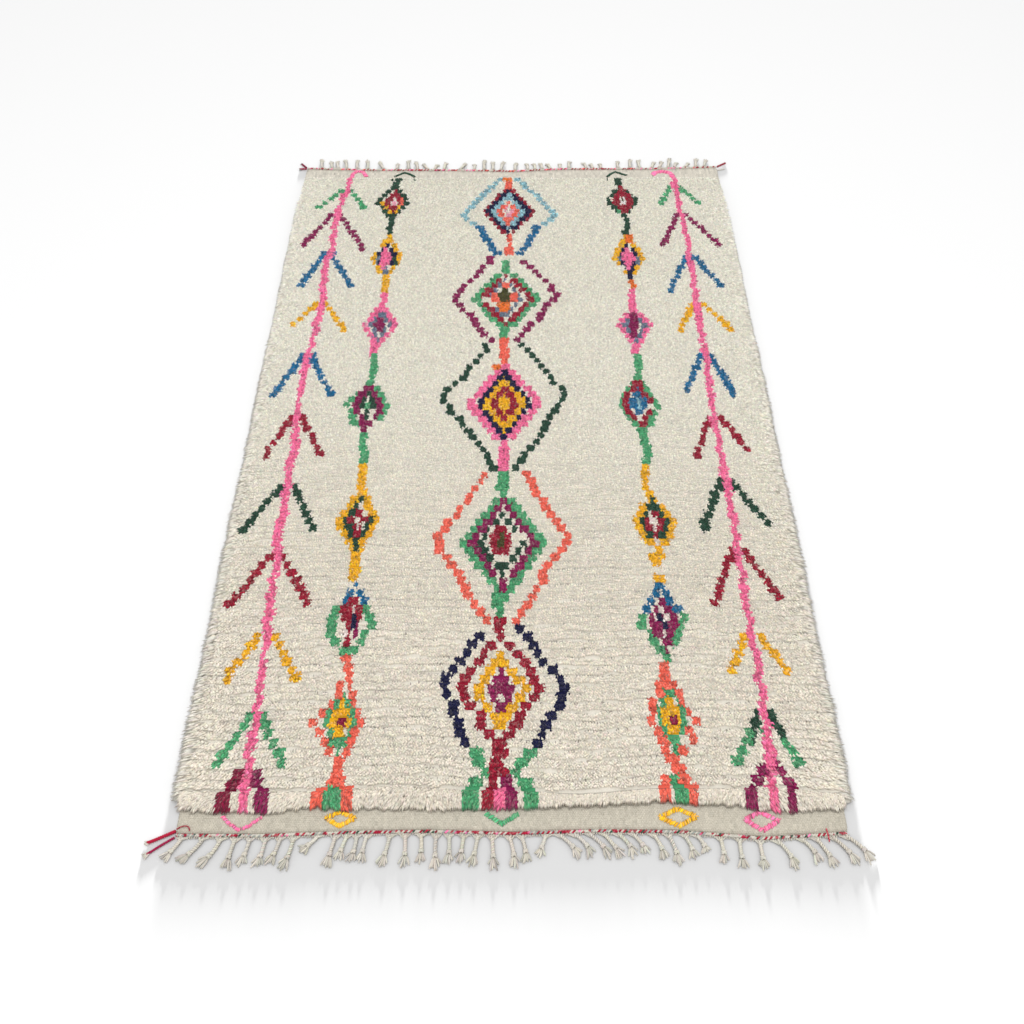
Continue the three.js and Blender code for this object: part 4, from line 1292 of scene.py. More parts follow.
@dataclass
class Embroidery:
    """Small motifs sewn on the bare bands, as slanting stitches along a line."""

    plan: Plan
    cloth: Cloth
    step: float = 2.7
    radius: float = 1.8

    def line(self, yarn: Yarn, width: float, points: tuple[Point, ...], seed: int) -> Shape:
        """Stitches every step along a line, each square to it but for a slant of 0.3.

        Args:
            yarn: the stitches' dye.
            width: how long a stitch is across the line.
            points: the line's corners.
            seed: the draw.

        Returns:
            The stitches.
        """
        rng = np.random.default_rng(seed)
        corners = np.array(points, float)
        long = np.concatenate([[0], np.cumsum(np.linalg.norm(np.diff(corners, axis=0), axis=1))])
        t = np.arange(0.5 * self.step, long[-1], self.step)
        x, y = np.interp(t, long, corners[:, 0]), np.interp(t, long, corners[:, 1])
        ahead = np.stack([np.interp(t + 3, long, corners[:, i]) - np.interp(t - 3, long, corners[:, i])
                          for i in (0, 1)], -1)
        ahead /= np.linalg.norm(ahead, axis=1, keepdims=True)
        aside = np.stack([-ahead[:, 1], ahead[:, 0]], -1) + 0.3 * ahead
        aside *= np.sign(aside[:, 1:] + 1e-9)
        middle = np.stack([x, y], -1) + 0.8 * rng.standard_normal((len(t), 2))
        stops = np.array([-0.5, -0.17, 0.17, 0.5])
        reach = 1.35 * width * rng.uniform(0.85, 1.1, (len(t), 1, 1))
        flat = middle[:, None] + reach * stops[:, None] * aside[:, None]
        arch = self.cloth.band_z(flat[..., 0], flat[..., 1]) + np.array([0.2, 1.9, 2.0, 0.2])
        path = np.concatenate([flat, arch[..., None]], -1)
        shade = dyed(np.full(len(t), NUMBER[yarn]), rng)[:, None]
        return tubes(path, self.radius * np.array([0.8, 1, 1, 0.8]), shade, 4)

    def near(self) -> Shape:
        """Green notch, two yellow lozenges, a pink notch and a pink lozenge on the near band.

        Returns:
            The stitches.
        """
        return join([
            self.line(GREEN, 8, ((-60, -1233), (-22, -1258), (14, -1233)), 51),
            self.line(YELLOW, 8, ((-392, -1229), (-424, -1243), (-392, -1263), (-358, -1243), (-392, -1229)),
                      52),
            self.line(YELLOW, 8, ((-402, -1257), (-392, -1262), (-382, -1257)), 56),
            self.line(YELLOW, 8.5, ((378, -1222), (337, -1242), (380, -1262), (420, -1240), (378, -1222)),
                      53),
            self.line(PINK, 5.5, ((-660, -1240), (-640, -1258), (-618, -1271), (-596, -1262), (-570, -1241)),
                      54),
            self.line(PINK, 8, ((566, -1229), (529, -1248), (568, -1272), (607, -1250), (566, -1229)), 55),
        ])

    def far(self) -> Shape:
        """The hooks and caps that end the drawing on the far band.

        Returns:
            The stitches.
        """
        return join([
            self.line(PINK, 11, ((-608, 1206), (-606, 1244), (-590, 1260), (-568, 1256), (-552, 1224)), 61),
            self.line(PINK, 14,
                      ((534, 1236), (546, 1253), (570, 1259), (596, 1254), (608, 1238), (610, 1206)), 62),
            self.line(FOREST, 7, ((-447, 1224), (-428, 1238), (-409, 1251), (-388, 1240), (-368, 1222)), 63),
            self.line(FOREST, 7, ((360, 1224), (376, 1243), (391, 1256), (412, 1245), (436, 1232)), 64),
        ])


# Cords, fringe and corner ends


@dataclass
class TwinedCord:
    """Two plies twined along an end of the cloth, coloured in groups."""

    plan: Plan
    far: bool
    turn: float
    reach: float = 2.0
    radius: float = 2.2
    high: float = 4.3

    def colour(self, x: Array, ply: int) -> Array:
        """The ply's dye at each place: dashes of reds on one, and of reds, greens or greys on the other.

        Args:
            x: places across.
            ply: the ply, 0 or 1.

        Returns:
            Numbers of dyes.
        """
        group = np.floor(x / (7 if self.far else 6) + 0.37 * ply).astype(int)
        draw = np.abs(np.sin(group * 12.9898 + ply * 78.233) * 43758.5453) % 1
        ecru, grey = NUMBER[Yarn.ECRU], NUMBER[Yarn.GREY]
        if ply == 0:
            return np.select([draw < (0.5 if self.far else 0.62), draw < 0.67],
                             [NUMBER[CRIMSON], NUMBER[PINK]], ecru)
        if self.far:
            return np.select([draw < 0.2, draw < 0.32], [NUMBER[CRIMSON], NUMBER[CORAL]], ecru)
        return np.select([draw < 0.12, draw < 0.34, draw < 0.6], [NUMBER[FOREST], NUMBER[CRIMSON], grey],
                         ecru)

    def shape(self) -> Shape:
        """The plies' tubes round the cord's middle line.

        Returns:
            The plies.
        """
        plan = self.plan
        half = (plan.half_far if self.far else plan.half_near) - 2.5
        x = np.arange(-half, half, self.turn / 5)
        core = np.stack([x, plan.cord_line(self.far, x), np.full_like(x, self.high)], -1)[None]
        paths = twisted(core, self.reach, x / self.turn, 0.4)
        rng = np.random.default_rng(71 + self.far)
        shade = np.stack([dyed(self.colour(x, ply), rng) for ply in (0, 1)])
        return tubes(paths, self.radius, shade, 5)


@dataclass
class Fringe:
    """Knotted warp tassels on the floor: a twisted leg, an overhand knot and a splayed tuft."""

    plan: Plan
    far: bool
    tassels: tuple[tuple[float, float, float], ...]
    leg: float
    knot: float
    tuft: float
    seed: int
    tuft_ends: int = 7
    toe: float = 1.8
    gather: float = 0.17
    spread: float = 13.0
    knot_at: float = 0.57
    bend: float = 0.0

    def way(self, t: Array, aside: Array, high: Array) -> Array:
        """Points beside the tassels' middle lines.

        Args:
            t: shares of the way from root to tip, (tassels, ..., stops).
            aside: distance to the left of the line, same shape.
            high: height, same shape.

        Returns:
            Points, one axis longer.
        """
        root, tip, bow = self.ends()
        extra = (1,) * (t.ndim - 1)
        step = (tip - root).reshape(-1, *extra, 2)
        long = np.linalg.norm(step, axis=-1, keepdims=True)
        square = np.stack([-step[..., 1], step[..., 0]], -1) / long
        curve = bow.reshape(-1, *extra) * np.sin(np.pi * np.clip(t, 0, 1.1))
        at = root.reshape(-1, *extra, 2) + t[..., None] * step + (aside + curve)[..., None] * square
        return np.concatenate([at, high[..., None]], -1)

    def ends(self) -> tuple[Array, Array, Array]:
        """Each tassel's root, tip and sideways bow.

        Returns:
            Roots and tips, (tassels, 2), and bows, (tassels,).
        """
        table = np.array(self.tassels, float)
        side = 1 if self.far else -1
        root_y = self.plan.cord_line(self.far, table[:, 0]) + side * 4.0
        root = np.stack([table[:, 0], root_y], -1)
        bow = 3.0 * np.sin(table[:, 0] * 0.7) + self.bend * np.abs(table[:, 1] - table[:, 0])
        return root, table[:, 1:], bow

    def legs(self, rng: np.random.Generator) -> Shape:
        """Two plies twisted on each other, which part at the root like the threads that they were.

        Args:
            rng: the draw.

        Returns:
            The legs.
        """
        n, stops = len(self.tassels), 25
        t = np.broadcast_to(np.linspace(0, self.knot_at, stops), (n, stops))
        turn = 2 * np.pi * (4.2 * t / self.knot_at) + rng.uniform(0, 6, (n, 1))
        open_ = np.clip(1 - t / 0.12, 0, 1) ** 1.3
        made = []
        for ply, sign in enumerate((-1, 1)):
            wave = self.leg * 0.5
            aside = sign * (wave * np.cos(turn) * (1 - open_) + 4.4 * open_)
            high = 0.92 * self.leg + sign * wave * 0.9 * np.sin(turn) * (1 - open_)
            shade = dyed(np.full(n, NUMBER[Yarn.ECRU]), rng)[:, None]
            # Painted shade and highlight: each ply is lighter where it rides high and darker where it dives
            # under the other.
            shade = shade * (0.94 + 0.24 * sign * np.sin(turn) * (1 - open_))[..., None]
            made.append(tubes(self.way(t, aside, high), self.leg * 0.46 * (1 - 0.25 * open_), shade, 4))
        return join(made)

    def knots(self, rng: np.random.Generator) -> Shape:
        """Two crossed loops round each leg, tilted opposite ways.

        Args:
            rng: the draw.

        Returns:
            The knots.
        """
        n, stops = len(self.tassels), 11
        a = np.broadcast_to(np.linspace(0, 2 * np.pi * 1.06, stops), (n, stops))
        long = np.linalg.norm(np.subtract(*self.ends()[1::-1]), axis=1)[:, None]
        made = []
        for tilt in (-0.62, 0.62):
            turned = a + rng.uniform(0, 6, (n, 1))
            t = self.knot_at + 0.02 + (self.knot * 0.62 * tilt * np.cos(turned)) / long
            aside = self.knot * 0.6 * np.cos(turned)
            high = self.knot * 0.92 + self.knot * 0.52 * np.sin(turned)
            shade = dyed(np.full(n, NUMBER[Yarn.ECRU]), rng)[:, None]
            made.append(tubes(self.way(t, aside, high), self.knot * 0.38, shade, 5))
        return join(made)

    def tufts(self, rng: np.random.Generator) -> Shape:
        """Loose ends that spread like toes from each knot to a blunt tip.

        Args:
            rng: the draw.

        Returns:
            The ends.
        """
        n, m = len(self.tassels), self.tuft_ends
        spread = np.linspace(-1, 1, m) + rng.uniform(-0.12, 0.12, (n, m))
        length = rng.uniform(0.86, 1.02, (n, m)) - 0.07 * spread ** 2
        share = np.array([0.0, 0.35, 0.75, 1.0])
        t = self.knot_at + 0.05 + (length - self.knot_at - 0.05)[..., None] * share
        curl = rng.uniform(-1.4, 1.4, (n, m, 1)) * np.sin(np.pi * share)
        aside = self.tuft * spread[..., None] * (0.16 + 0.84 * share ** 0.7) + curl
        top = rng.uniform(2.6, 4.6, (n, m, 1))
        high = 4.6 * (1 - share) + top * share + 1.0 * np.sin(np.pi * share)
        shade = 0.92 * dyed(np.full((n * m, 1), NUMBER[Yarn.ECRU]), rng, 0.12)
        path = self.way(t, aside, high).reshape(n * m, len(share), 3)
        return tubes(path, self.toe * np.array([0.85, 1.0, 1.1, 0.9]), shade, 5)

    def roots(self, rng: np.random.Generator) -> Shape:
        """Small warp loops past the cord, and threads that gather from both sides into each leg.

        Args:
            rng: the draw.

        Returns:
            The loops and threads.
        """
        side = 1 if self.far else -1
        half = (self.plan.half_far if self.far else self.plan.half_near) - 6
        x = np.arange(-half, half, 5.4)
        x = x + rng.uniform(-1, 1, len(x))
        out = np.array([2.6, 5.4, 7.6]) + np.stack([0 * x, rng.uniform(-0.5, 0.5, len(x)),
                                                    rng.uniform(-1.5, 1.5, len(x))], -1)
        y = self.plan.cord_line(self.far, x)[:, None] + side * out
        loops = np.stack([np.broadcast_to(x[:, None], out.shape), y,
                          np.broadcast_to([3.2, 3.4, 1.9], out.shape)], -1)
        root, tip, _ = self.ends()
        aside = np.linspace(-self.spread, self.spread, 6) + rng.uniform(-1.5, 1.5, (len(root), 6))
        start = np.stack([root[:, :1] + aside, 0 * aside], -1)
        start[..., 1] = self.plan.cord_line(self.far, start[..., 0]) + side * 3.0
        end = (root + self.gather * (tip - root))[:, None] + 0.12 * aside[..., None] * [1, 0]
        share = np.array([0.0, 0.4, 1.0])[:, None]
        flat = start[:, :, None] * (1 - share) + end[:, :, None] * share
        high = np.broadcast_to([3.0, 4.2, 4.0], flat.shape[:-1])
        threads = np.concatenate([flat, high[..., None]], -1).reshape(-1, 3, 3)
        paths = np.concatenate([loops, threads])
        shade = dyed(np.full((len(paths), 1), NUMBER[Yarn.ECRU]), rng)
        return tubes(paths, 1.7 * np.array([0.9, 1.0, 0.8]), shade, 4)

    def shape(self) -> Shape:
        """The whole fringe."""
        rng = np.random.default_rng(self.seed)
        return join([self.roots(rng), self.legs(rng), self.knots(rng), self.tufts(rng)])


@dataclass
class CornerEnd:
    """The ends of the twined cords at one corner: twisted tubes, some with a tuft."""

    cords: tuple[tuple[Yarn, float, tuple[tuple[float, float, float], ...]], ...]
    tufts: tuple[tuple[Yarn, Point, Point, float], ...]
    seed: int

    def shape(self) -> Shape:
        """Each cord's path runs straight between its points, smoothed three times by weights 1, 2, 1.

        Returns:
            The cords and tufts.
        """
        rng = np.random.default_rng(self.seed)
        made = []
        for yarn, radius, points in self.cords:
            stops = np.array(points, float)
            long = np.concatenate([[0], np.cumsum(np.linalg.norm(np.diff(stops, axis=0), axis=1))])
            t = np.linspace(0, long[-1], max(6, int(long[-1] / 2.2)))
            core = np.stack([np.interp(t, long, stops[:, i]) for i in range(3)], -1)
            for _ in range(3):
                core[1:-1] = 0.25 * core[:-2] + 0.5 * core[1:-1] + 0.25 * core[2:]
            paths = twisted(core[None], radius * 0.45, t / 9.5, 0.3)
            shade = dyed(np.full((2, 1), NUMBER[yarn]), rng)
            made.append(tubes(paths, radius * 0.58, shade, 6))
        for yarn, (x0, y0), (x1, y1), wide in self.tufts:
            spread = np.linspace(-1, 1, 9)[:, None] + rng.uniform(-0.2, 0.2, (9, 1))
            share = np.array([0.0, 0.4, 1.0])
            length = rng.uniform(0.8, 1.05, (9, 1))
            step = np.array([x1 - x0, y1 - y0])
            square = np.array([-step[1], step[0]]) / np.linalg.norm(step)
            aside = wide * spread * (0.3 + 0.7 * share)
            flat = [x0, y0] + (length * share)[..., None] * step + aside[..., None] * square
            high = 3.4 + rng.uniform(-1.2, 2.2, (9, 1)) * share
            path = np.concatenate([flat, high[..., None]], -1)
            made.append(tubes(path, 1.6 * np.array([0.9, 1, 0.7]), dyed(np.full((9, 1), NUMBER[yarn]), rng),
                              4))
        return join(made)


# Each tassel's root x, tip x and tip y: places picked in the photo, turned into mm by the
# camera. The solids have the same tables.
NEAR_TASSELS = (
    (-740, -779, -1339), (-691, -745, -1344), (-652, -699, -1353), (-621, -633, -1363),
    (-588, -604, -1353), (-553, -571, -1357), (-520, -543, -1350), (-490, -512, -1363),
    (-434, -474, -1320), (-396, -413, -1357), (-370, -388, -1342), (-349, -362, -1346),
    (-326, -336, -1346), (-274, -294, -1355), (-241, -241, -1357), (-205, -205, -1346),
    (-171, -170, -1363), (-142, -144, -1350), (-108, -117, -1346), (-76, -91, -1354), (-45, -40, -1363),
    (-7, 5, -1359), (20, 31, -1346), (78, 60, -1333), (103, 153, -1335), (137, 180, -1333),
    (171, 220, -1335), (205, 248, -1335), (236, 274, -1333), (270, 302, -1328), (317, 340, -1339),
    (351, 372, -1353), (387, 407, -1339), (415, 434, -1326), (468, 471, -1348), (511, 513, -1361),
    (556, 560, -1363), (594, 630, -1361), (648, 684, -1347), (682, 718, -1358), (718, 769, -1350),
    (748, 803, -1347),
)
FAR_TASSELS = (
    (-727, -735, 1342), (-687, -697, 1327), (-663, -673, 1332), (-632, -645, 1337), (-590, -595, 1337),
    (-551, -560, 1337), (-490, -511, 1327), (-440, -439, 1312), (-394, -399, 1337), (-360, -373, 1327),
    (-320, -342, 1312), (-296, -284, 1306), (-260, -252, 1322), (-199, -177, 1317), (-146, -146, 1310),
    (-105, -104, 1337), (-72, -75, 1327), (-42, -29, 1327), (12, 18, 1318), (60, 52, 1314),
    (88, 80, 1314), (116, 106, 1316), (148, 132, 1312), (184, 183, 1310), (218, 225, 1329),
    (284, 270, 1318), (310, 298, 1312), (341, 336, 1312), (406, 409, 1329), (452, 459, 1344),
    (488, 488, 1340), (534, 549, 1324), (563, 576, 1329), (597, 610, 1349), (622, 637, 1318),
    (662, 679, 1318), (704, 713, 1349), (736, 749, 1339),
)


# Finishes


class Nodes:
    """Adds nodes to a tree and links their sockets."""

    def __init__(self, tree: bpy.types.NodeTree) -> None:
        """Keeps the tree."""
        self.tree = tree

    def add(self, kind: str, **values: object) -> bpy.types.Node:
        """Adds a node.

        Args:
            kind: the node's type.
            values: its properties by name, and its inputs as in_NAME, with _ for a space, or in_0 by number.

        Returns:
            The node.
        """
        node = self.tree.nodes.new(kind)
        for name, value in values.items():
            if not name.startswith("in_"):
                setattr(node, name, value)
                continue
            key = name[3:].replace("_", " ")
            socket = node.inputs[int(key) if key.isdigit() else key]
            if isinstance(value, bpy.types.NodeSocket):
                self.tree.links.new(value, socket)
            else:
                socket.default_value = value
        return node

    def maths(self, operation: str, a: object, b: object = 0.5) -> bpy.types.NodeSocket:
        """A Math node's result on two values or sockets."""
        return self.add("ShaderNodeMath", operation=operation, in_0=a, in_1=b).outputs[0]

    def mixed(self, share: object, a: object, b: object, blend: str = "MIX") -> bpy.types.NodeSocket:
        """A colour mix's result."""
        node = self.add("ShaderNodeMix", data_type="RGBA", blend_type=blend)
        for index, value in ((0, share), (6, a), (7, b)):
            if isinstance(value, bpy.types.NodeSocket):
                self.tree.links.new(value, node.inputs[index])
            else:
                node.inputs[index].default_value = value
        return node.outputs[2]


def group_of(name: str, inputs: tuple[tuple[str, str, object], ...], outputs: tuple[tuple[str, str], ...]
             ) -> tuple[bpy.types.NodeTree, Nodes, bpy.types.Node, bpy.types.Node]:
    """An empty shader node group.

    Args:
        name: its name.
        inputs: each input's name, socket type and default.
        outputs: each output's name and socket type.

    Returns:
        The group, its nodes, and its input and output nodes.
    """
    tree = bpy.data.node_groups.new(name, "ShaderNodeTree")
    for label, kind, value in inputs:
        socket = tree.interface.new_socket(label, in_out="INPUT", socket_type=kind)
        socket.default_value = value
    for label, kind in outputs:
        tree.interface.new_socket(label, in_out="OUTPUT", socket_type=kind)
    nodes = Nodes(tree)
    return tree, nodes, nodes.add("NodeGroupInput"), nodes.add("NodeGroupOutput")


def fibre_group() -> bpy.types.NodeTree:
    """Spun wool: a fine noise that shades the colour and lifts single fibres.

    Returns:
        The group.
    """
    tree, n, start, end = group_of(
        "spun fibre",
        (("Colour", "NodeSocketColor", (0.8, 0.8, 0.8, 1)), ("Fineness", "NodeSocketFloat", 900.0),
         ("Shade", "NodeSocketFloat", 0.2), ("Lift", "NodeSocketFloat", 0.3)),
        (("Colour", "NodeSocketColor"), ("Normal", "NodeSocketVector")))
    place = n.add("ShaderNodeTexCoord").outputs["Object"]
    stretched = n.add("ShaderNodeMapping", in_Vector=place, in_Scale=(1.0, 0.35, 0.6)).outputs[0]
    grain = n.add("ShaderNodeTexNoise", in_Vector=stretched, in_Scale=start.outputs["Fineness"],
                  in_Detail=3.0).outputs[0]
    dark = n.maths("MULTIPLY", n.maths("SUBTRACT", 0.62, grain), start.outputs["Shade"])
    colour = n.mixed(n.maths("MULTIPLY", dark, 3.0), start.outputs["Colour"], (0.25, 0.22, 0.17, 1),
                     "MULTIPLY")
    bump = n.add("ShaderNodeBump", in_Strength=start.outputs["Lift"], in_Distance=0.0006, in_Height=grain)
    tree.links.new(colour, end.inputs["Colour"])
    tree.links.new(bump.outputs[0], end.inputs["Normal"])
    return tree


# Metres from one warp thread or weft thread to the next
WARP_PITCH = 0.0056
WEFT_PITCH = 0.0044


def weave_group(plan: Plan) -> bpy.types.NodeTree:
    """Plain weave: weft ribs over warp ribs, and on the underside the lines of the knots' backs.

    A rib's height is the sine of its place, and every second weft is half a warp aside.

    Args:
        plan: the rug's plan.

    Returns:
        The group.
    """
    tree, n, start, end = group_of(
        "plain weave",
        (("Colour", "NodeSocketColor", (0.8, 0.8, 0.8, 1)),
         ("Ground", "NodeSocketColor", (0.6, 0.6, 0.5, 1)),
         ("Lift", "NodeSocketFloat", 0.5)),
        (("Colour", "NodeSocketColor"), ("Normal", "NodeSocketVector")))
    place = n.add("ShaderNodeTexCoord").outputs["Object"]
    slubs = n.add("ShaderNodeTexNoise", in_Vector=place, in_Scale=260.0, in_Detail=1.0).outputs[0]
    soft = n.add("ShaderNodeTexNoise", in_Vector=place, in_Scale=60.0, in_Detail=2.0).outputs["Color"]
    moved = n.add("ShaderNodeVectorMath", operation="MULTIPLY_ADD", in_0=soft, in_1=(0.004, 0.004, 0.0),
                  in_2=place).outputs[0]
    apart = n.add("ShaderNodeSeparateXYZ", in_0=moved)
    warp = n.maths("MULTIPLY", apart.outputs["X"], 2 * np.pi / WARP_PITCH)
    weft = n.maths("MULTIPLY", apart.outputs["Y"], 2 * np.pi / WEFT_PITCH)
    half = n.maths("MULTIPLY", n.maths("ROUND", n.maths("DIVIDE", apart.outputs["Y"], WEFT_PITCH)), np.pi)
    over = n.maths("SINE", n.maths("ADD", warp, half))
    ribs = n.maths("ADD", n.maths("MULTIPLY", over, 0.5), n.maths("MULTIPLY", n.maths("SINE", weft), 0.35))
    fine = n.add("ShaderNodeTexNoise", in_Vector=place, in_Scale=1400.0, in_Detail=2.0).outputs[0]
    height = n.maths("ADD", ribs, n.maths("MULTIPLY", fine, 0.6))
    # The knots' backs show as pips in a line each row, on faces that look down.
    shift = n.maths("SUBTRACT", apart.outputs["Y"], (plan.first_crest + plan.row) * MM - 0.003)
    share = n.maths("FRACT", n.maths("DIVIDE", shift, plan.row * MM))
    between = n.maths("GREATER_THAN", share, 0.3)
    faces = n.add("ShaderNodeNewGeometry").outputs["Normal"]
    down = n.maths("LESS_THAN", n.add("ShaderNodeSeparateXYZ", in_0=faces).outputs["Z"], -0.5)
    wefts = n.maths("MULTIPLY", between, down)
    wool = n.mixed(wefts, start.outputs["Colour"], start.outputs["Ground"])
    # Painted shade in the weave's hollows: the colour darkens where the ribs are low, and with the slow
    # slubs.
    low = n.maths("SUBTRACT", 0.9, n.maths("ADD", n.maths("MULTIPLY", height, 0.2), slubs))
    dark = n.maths("MULTIPLY", low, 0.9)
    colour = n.mixed(dark, wool, (0.45, 0.42, 0.36, 1), "MULTIPLY")
    bump = n.add("ShaderNodeBump", in_Strength=start.outputs["Lift"], in_Distance=0.0008, in_Height=height)
    tree.links.new(colour, end.inputs["Colour"])
    tree.links.new(bump.outputs[0], end.inputs["Normal"])
    return tree


# How little wool shines
WOOL_SPECULAR = 0.15


def wool_material(name: str, group: bpy.types.NodeTree, roughness: float, **values: object
                  ) -> tuple[bpy.types.Material, bpy.types.Node]:
    """A rough material: the wool attribute through a group into the shader's colour and normal.

    Args:
        name: the material's name.
        group: the node group.
        roughness: the shader's.
        values: the group's other inputs, as in_NAME.

    Returns:
        The material and its shader.
    """
    finish = bpy.data.materials.new(name)
    finish.use_nodes = True
    n = Nodes(finish.node_tree)
    shader = finish.node_tree.nodes["Principled BSDF"]
    dye = n.add("ShaderNodeAttribute", attribute_name="wool").outputs["Color"]
    made = n.add("ShaderNodeGroup", node_tree=group, in_Colour=dye, **values)
    finish.node_tree.links.new(made.outputs["Colour"], shader.inputs["Base Color"])
    finish.node_tree.links.new(made.outputs["Normal"], shader.inputs["Normal"])
    shader.inputs["Roughness"].default_value = roughness
    shader.inputs["Specular IOR Level"].default_value = WOOL_SPECULAR
    return finish, shader


@dataclass(frozen=True)
class WoolFinish:
    """A finish of dyed wool, whose colour is the strands' own."""

    name: str
    fineness: float
    shade: float
    lift: float
    roughness: float = 0.95
    sheen: float = 0.12

    def make(self, group: bpy.types.NodeTree) -> bpy.types.Material:
        """The material: the wool colour through the fibre group into a rough shader with a soft sheen."""
        finish, shader = wool_material(self.name, group, self.roughness, in_Fineness=self.fineness,
                                       in_Shade=self.shade, in_Lift=self.lift)
        shader.inputs["Sheen Weight"].default_value = self.sheen
        shader.inputs["Sheen Roughness"].default_value = 0.6
        return finish


@dataclass(frozen=True)
class WeaveFinish:
    """The ground cloth's finish."""

    name: str = "woven_ground"
    ground: Yarn = Yarn.ECRU
    lift: float = 0.7
    roughness: float = 0.95

    def make(self, group: bpy.types.NodeTree) -> bpy.types.Material:
        """The material: the cloth's colour through the weave group into a rough shader."""
        finish, _ = wool_material(self.name, group, self.roughness,
                                  in_Ground=(*DYES[NUMBER[self.ground]], 1), in_Lift=self.lift)
        return finish


# Floor, light and camera


@dataclass(frozen=True)
class Lamp:
    """A soft area light, in metres and watts, that looks at a point of the floor."""

    name: str
    place: tuple[float, float, float]
    aim: tuple[float, float, float]
    size: tuple[float, float]
    power: float

    def make(self) -> None:
        """Adds the lamp."""
        data = bpy.data.lights.new(self.name, "AREA")
        data.shape = "RECTANGLE"
        data.size, data.size_y = self.size
        data.energy = self.power
        lamp = bpy.data.objects.new(self.name, data)
        lamp.location = self.place
        lamp.rotation_euler = look(np.subtract(self.aim, self.place))
        bpy.context.scene.collection.objects.link(lamp)


@dataclass(frozen=True)
class LowSun:
    """A low light from behind that falls on the floor alone and leaves the rug's soft shadow in front."""

    rise: float = 6.3
    spread: float = 4.5
    power: float = 13.5

    def make(self, floor: bpy.types.Object) -> None:
        """Adds the light and links it to the floor.

        Args:
            floor: what it lights.
        """
        data = bpy.data.lights.new("low_sun", "SUN")
        data.energy, data.angle = self.power, np.radians(self.spread)
        lamp = bpy.data.objects.new("low_sun", data)
        rise = np.radians(self.rise)
        lamp.rotation_euler = look(np.array([0.0, -np.cos(rise), -np.sin(rise)]))
        bpy.context.scene.collection.objects.link(lamp)
        lit = bpy.data.collections.new("lit_by_low_sun")
        lit.objects.link(floor)
        lamp.light_linking.receiver_collection = lit


def look(way: Array) -> tuple[float, float, float]:
    """The turn that points an object's -Z along a direction, with its +Y up."""
    return tuple(Vector(way).to_track_quat("-Z", "Y").to_euler())


@dataclass(frozen=True)
class Studio:
    """A white floor, soft light and the camera, in metres."""

    eye: tuple[float, float, float] = (0.0, -2.035, 2.206)
    pitch: float = 52.9
    lens: float = 34.485
    floor_half: float = 9.0
    floor_white: float = 0.55
    sky: float = 1.08
    lamps: tuple[Lamp, ...] = (Lamp("top", (0.0, -0.6, 4.5), (0.0, -0.2, 0.0), (4.0, 4.0), 86.0),)
    low_sun: LowSun = LowSun()

    def camera(self) -> None:
        """The camera looks toward the far end, tilted down by its pitch."""
        data = bpy.data.cameras.new("camera")
        data.lens, data.sensor_width = self.lens, 36.0
        camera = bpy.data.objects.new("camera", data)
        camera.location = self.eye
        camera.rotation_euler = (np.radians(90 - self.pitch), 0.0, 0.0)
        bpy.context.scene.collection.objects.link(camera)
        bpy.context.scene.camera = camera

    def floor(self) -> bpy.types.Object:
        """A level floor just under the cloth.

        Returns:
            The floor.
        """
        half, z = self.floor_half, -0.0004
        mesh = bpy.data.meshes.new("floor")
        mesh.from_pydata([(-half, -half, z), (half, -half, z), (half, half, z), (-half, half, z)], [],
                         [(0, 1, 2, 3)])
        finish = bpy.data.materials.new("floor_white")
        finish.use_nodes = True
        shader = finish.node_tree.nodes["Principled BSDF"]
        shader.inputs["Base Color"].default_value = (self.floor_white,) * 3 + (1,)
        shader.inputs["Roughness"].default_value = 1.0
        shader.inputs["Specular IOR Level"].default_value = 0.0
        mesh.materials.append(finish)
        floor = bpy.data.objects.new("floor", mesh)
        bpy.context.scene.collection.objects.link(floor)
        return floor

    def light(self) -> None:
        """An even white surround and the lamps."""
        scene = bpy.context.scene
        world = bpy.data.worlds.new("surround")
        scene.world = world
        world.use_nodes = True
        world.node_tree.nodes["Background"].inputs[0].default_value = (1, 1, 1, 1)
        world.node_tree.nodes["Background"].inputs[1].default_value = self.sky
        for lamp in self.lamps:
            lamp.make()
        scene.view_settings.view_transform = "Standard"

    def make(self) -> None:
        """Floor, light and camera."""
        self.camera()
        self.low_sun.make(self.floor())
        self.light()


CORNER_ENDS = {
    "tail_near_left": CornerEnd((
        (CRIMSON, 4.4, ((-760, -1274, 4.4), (-784, -1285, 3.6), (-808, -1296, 3.6), (-818, -1300, 3.6))),
        (MAROON, 3.2, ((-760, -1288, 3.2), (-786, -1305, 3.2), (-805, -1319, 3.2), (-814, -1325, 3.2))),
        (CRIMSON, 1.9, ((-758, -1270, 6.6), (-748, -1264, 7), (-736, -1262, 7.2), (-729, -1267, 6.8),
                        (-728, -1274, 6.4)))),
        ((Yarn.ECRU, (-813, -1298), (-824, -1303), 6.0), (Yarn.ECRU, (-810, -1322), (-822, -1332), 6.5)),
        81),
    "tail_near_right": CornerEnd((
        (CRIMSON, 2.0, ((710, -1268, 6.6), (711, -1280, 7.6), (711, -1285, 9.0), (711, -1290, 8.4),
                        (712, -1298, 5.2))),),
        (), 82),
    "tail_far_left": CornerEnd((
        (MAROON, 4.2, ((-786, 1282, 4.4), (-797, 1294, 4.6), (-808, 1308, 4.2))),
        (MAROON, 4.0, ((-786, 1276, 4.2), (-798, 1277, 4.2), (-812, 1274, 4.0)))),
        ((Yarn.GREY, (-804, 1303), (-811, 1311), 5.0), (Yarn.GREY, (-806, 1275), (-814, 1273), 5.0)), 83),
    "tail_far_right": CornerEnd((
        (CRIMSON, 4.0, ((786, 1291, 4.2), (802, 1301, 4.4), (822, 1316, 3.8))),
        (Yarn.ECRU, 2.2, ((786, 1271, 2.5), (800, 1274, 2.5), (814, 1280, 2.3)))),
        (), 84),
}


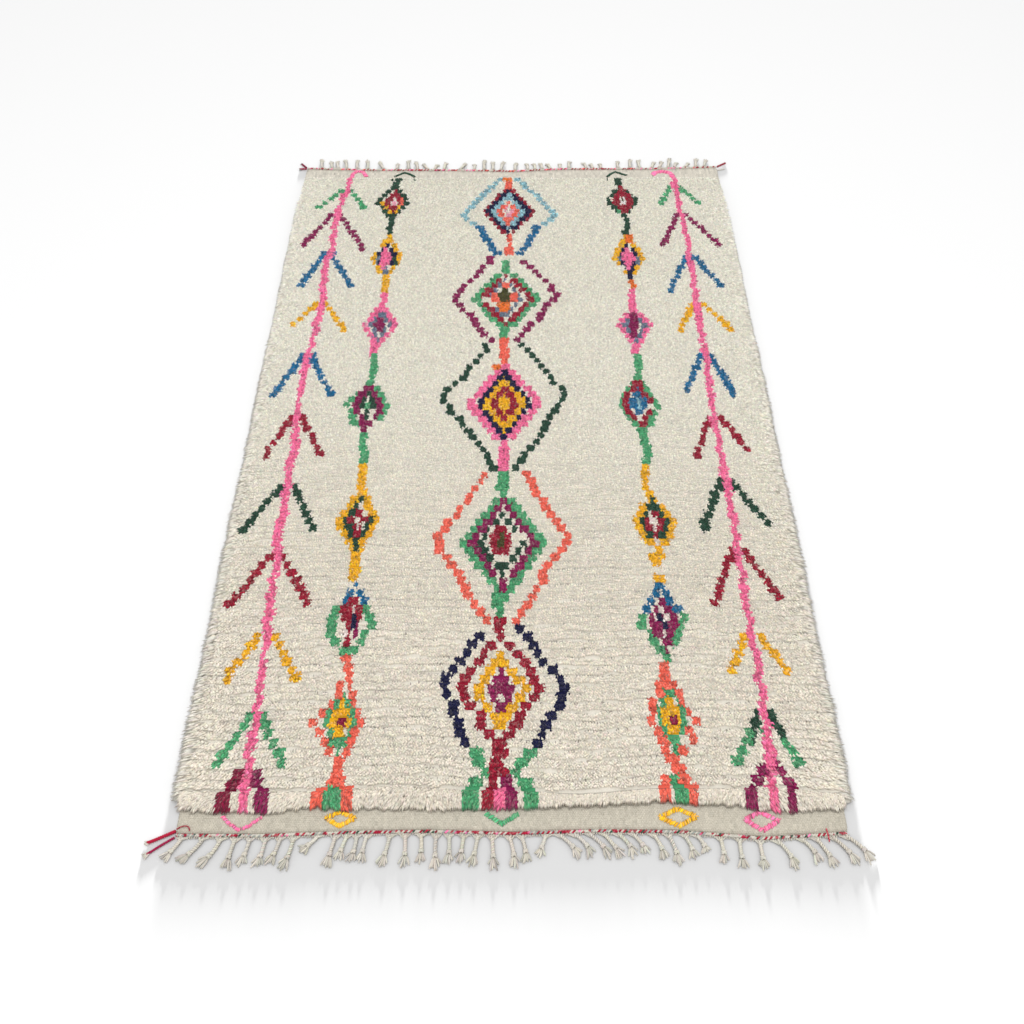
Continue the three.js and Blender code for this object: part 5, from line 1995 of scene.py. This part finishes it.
def main() -> None:
    """Builds the rug's pieces in order, then the studio."""
    logging.basicConfig(level=logging.INFO, format="%(name)s %(message)s")
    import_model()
    plan = Plan()
    chart = Chart(plan)
    chart.paint(*MEDALLIONS, *INNER_LEFT, *INNER_RIGHT, *TREES)
    fibre, weave = fibre_group(), weave_group(plan)
    pile_wool = WoolFinish("pile_wool", 700.0, 0.18, 0.35).make(fibre)
    cord_wool = WoolFinish("cord_wool", 1100.0, 0.2, 0.4).make(fibre)
    warp_wool = WoolFinish("warp_wool", 1100.0, 0.25, 0.4).make(fibre)
    woven = WeaveFinish().make(weave)

    pile = Pile(plan, chart)
    cloth = Cloth(plan, chart)
    ground = piece_of("ground_cloth", cloth.shape(), woven, "rug")
    laid = [piece_of("pile_bed", pile.bed(), pile_wool, "rug")]
    edges = np.linspace(0, plan.rows, 6).astype(int)
    edges[0] = 1
    for i, (first, last) in enumerate(zip(edges[:-1], edges[1:])):
        shape = pile.tufts(first, last, 6 if i == 0 else 5)
        laid.append(piece_of(f"pile_{i + 1}", shape, pile_wool, "rug"))
    laid.append(piece_of("pile_front", pile.front_row(), pile_wool, "rug"))
    laid.append(piece_of("pile_rims", pile.rims(), pile_wool, "rug"))
    sewn = Embroidery(plan, cloth)
    laid.append(piece_of("stitches_near", sewn.near(), pile_wool, "rug"))
    laid.append(piece_of("stitches_far", sewn.far(), pile_wool, "rug"))
    for name, cord in (("near", TwinedCord(plan, False, 11.5)), ("far", TwinedCord(plan, True, 11.5))):
        laid.append(piece_of(f"cord_{name}", cord.shape(), cord_wool, f"twined_cord_{name}"))
    near = Fringe(plan, False, NEAR_TASSELS, 5.4, 6.8, 12.0, 91, bend=0.1)
    far = Fringe(plan, True, FAR_TASSELS, 6.4, 7.4, 8.0, 92, toe=2.2)
    for name, fringe in (("near", near), ("far", far)):
        laid.append(piece_of(f"tassels_{name}", fringe.shape(), warp_wool, f"fringe_{name}"))
    for node, end in CORNER_ENDS.items():
        laid.append(piece_of(f"{node}_end", end.shape(), cord_wool, node))

    Studio().make()


if __name__ == "__main__":
    main()
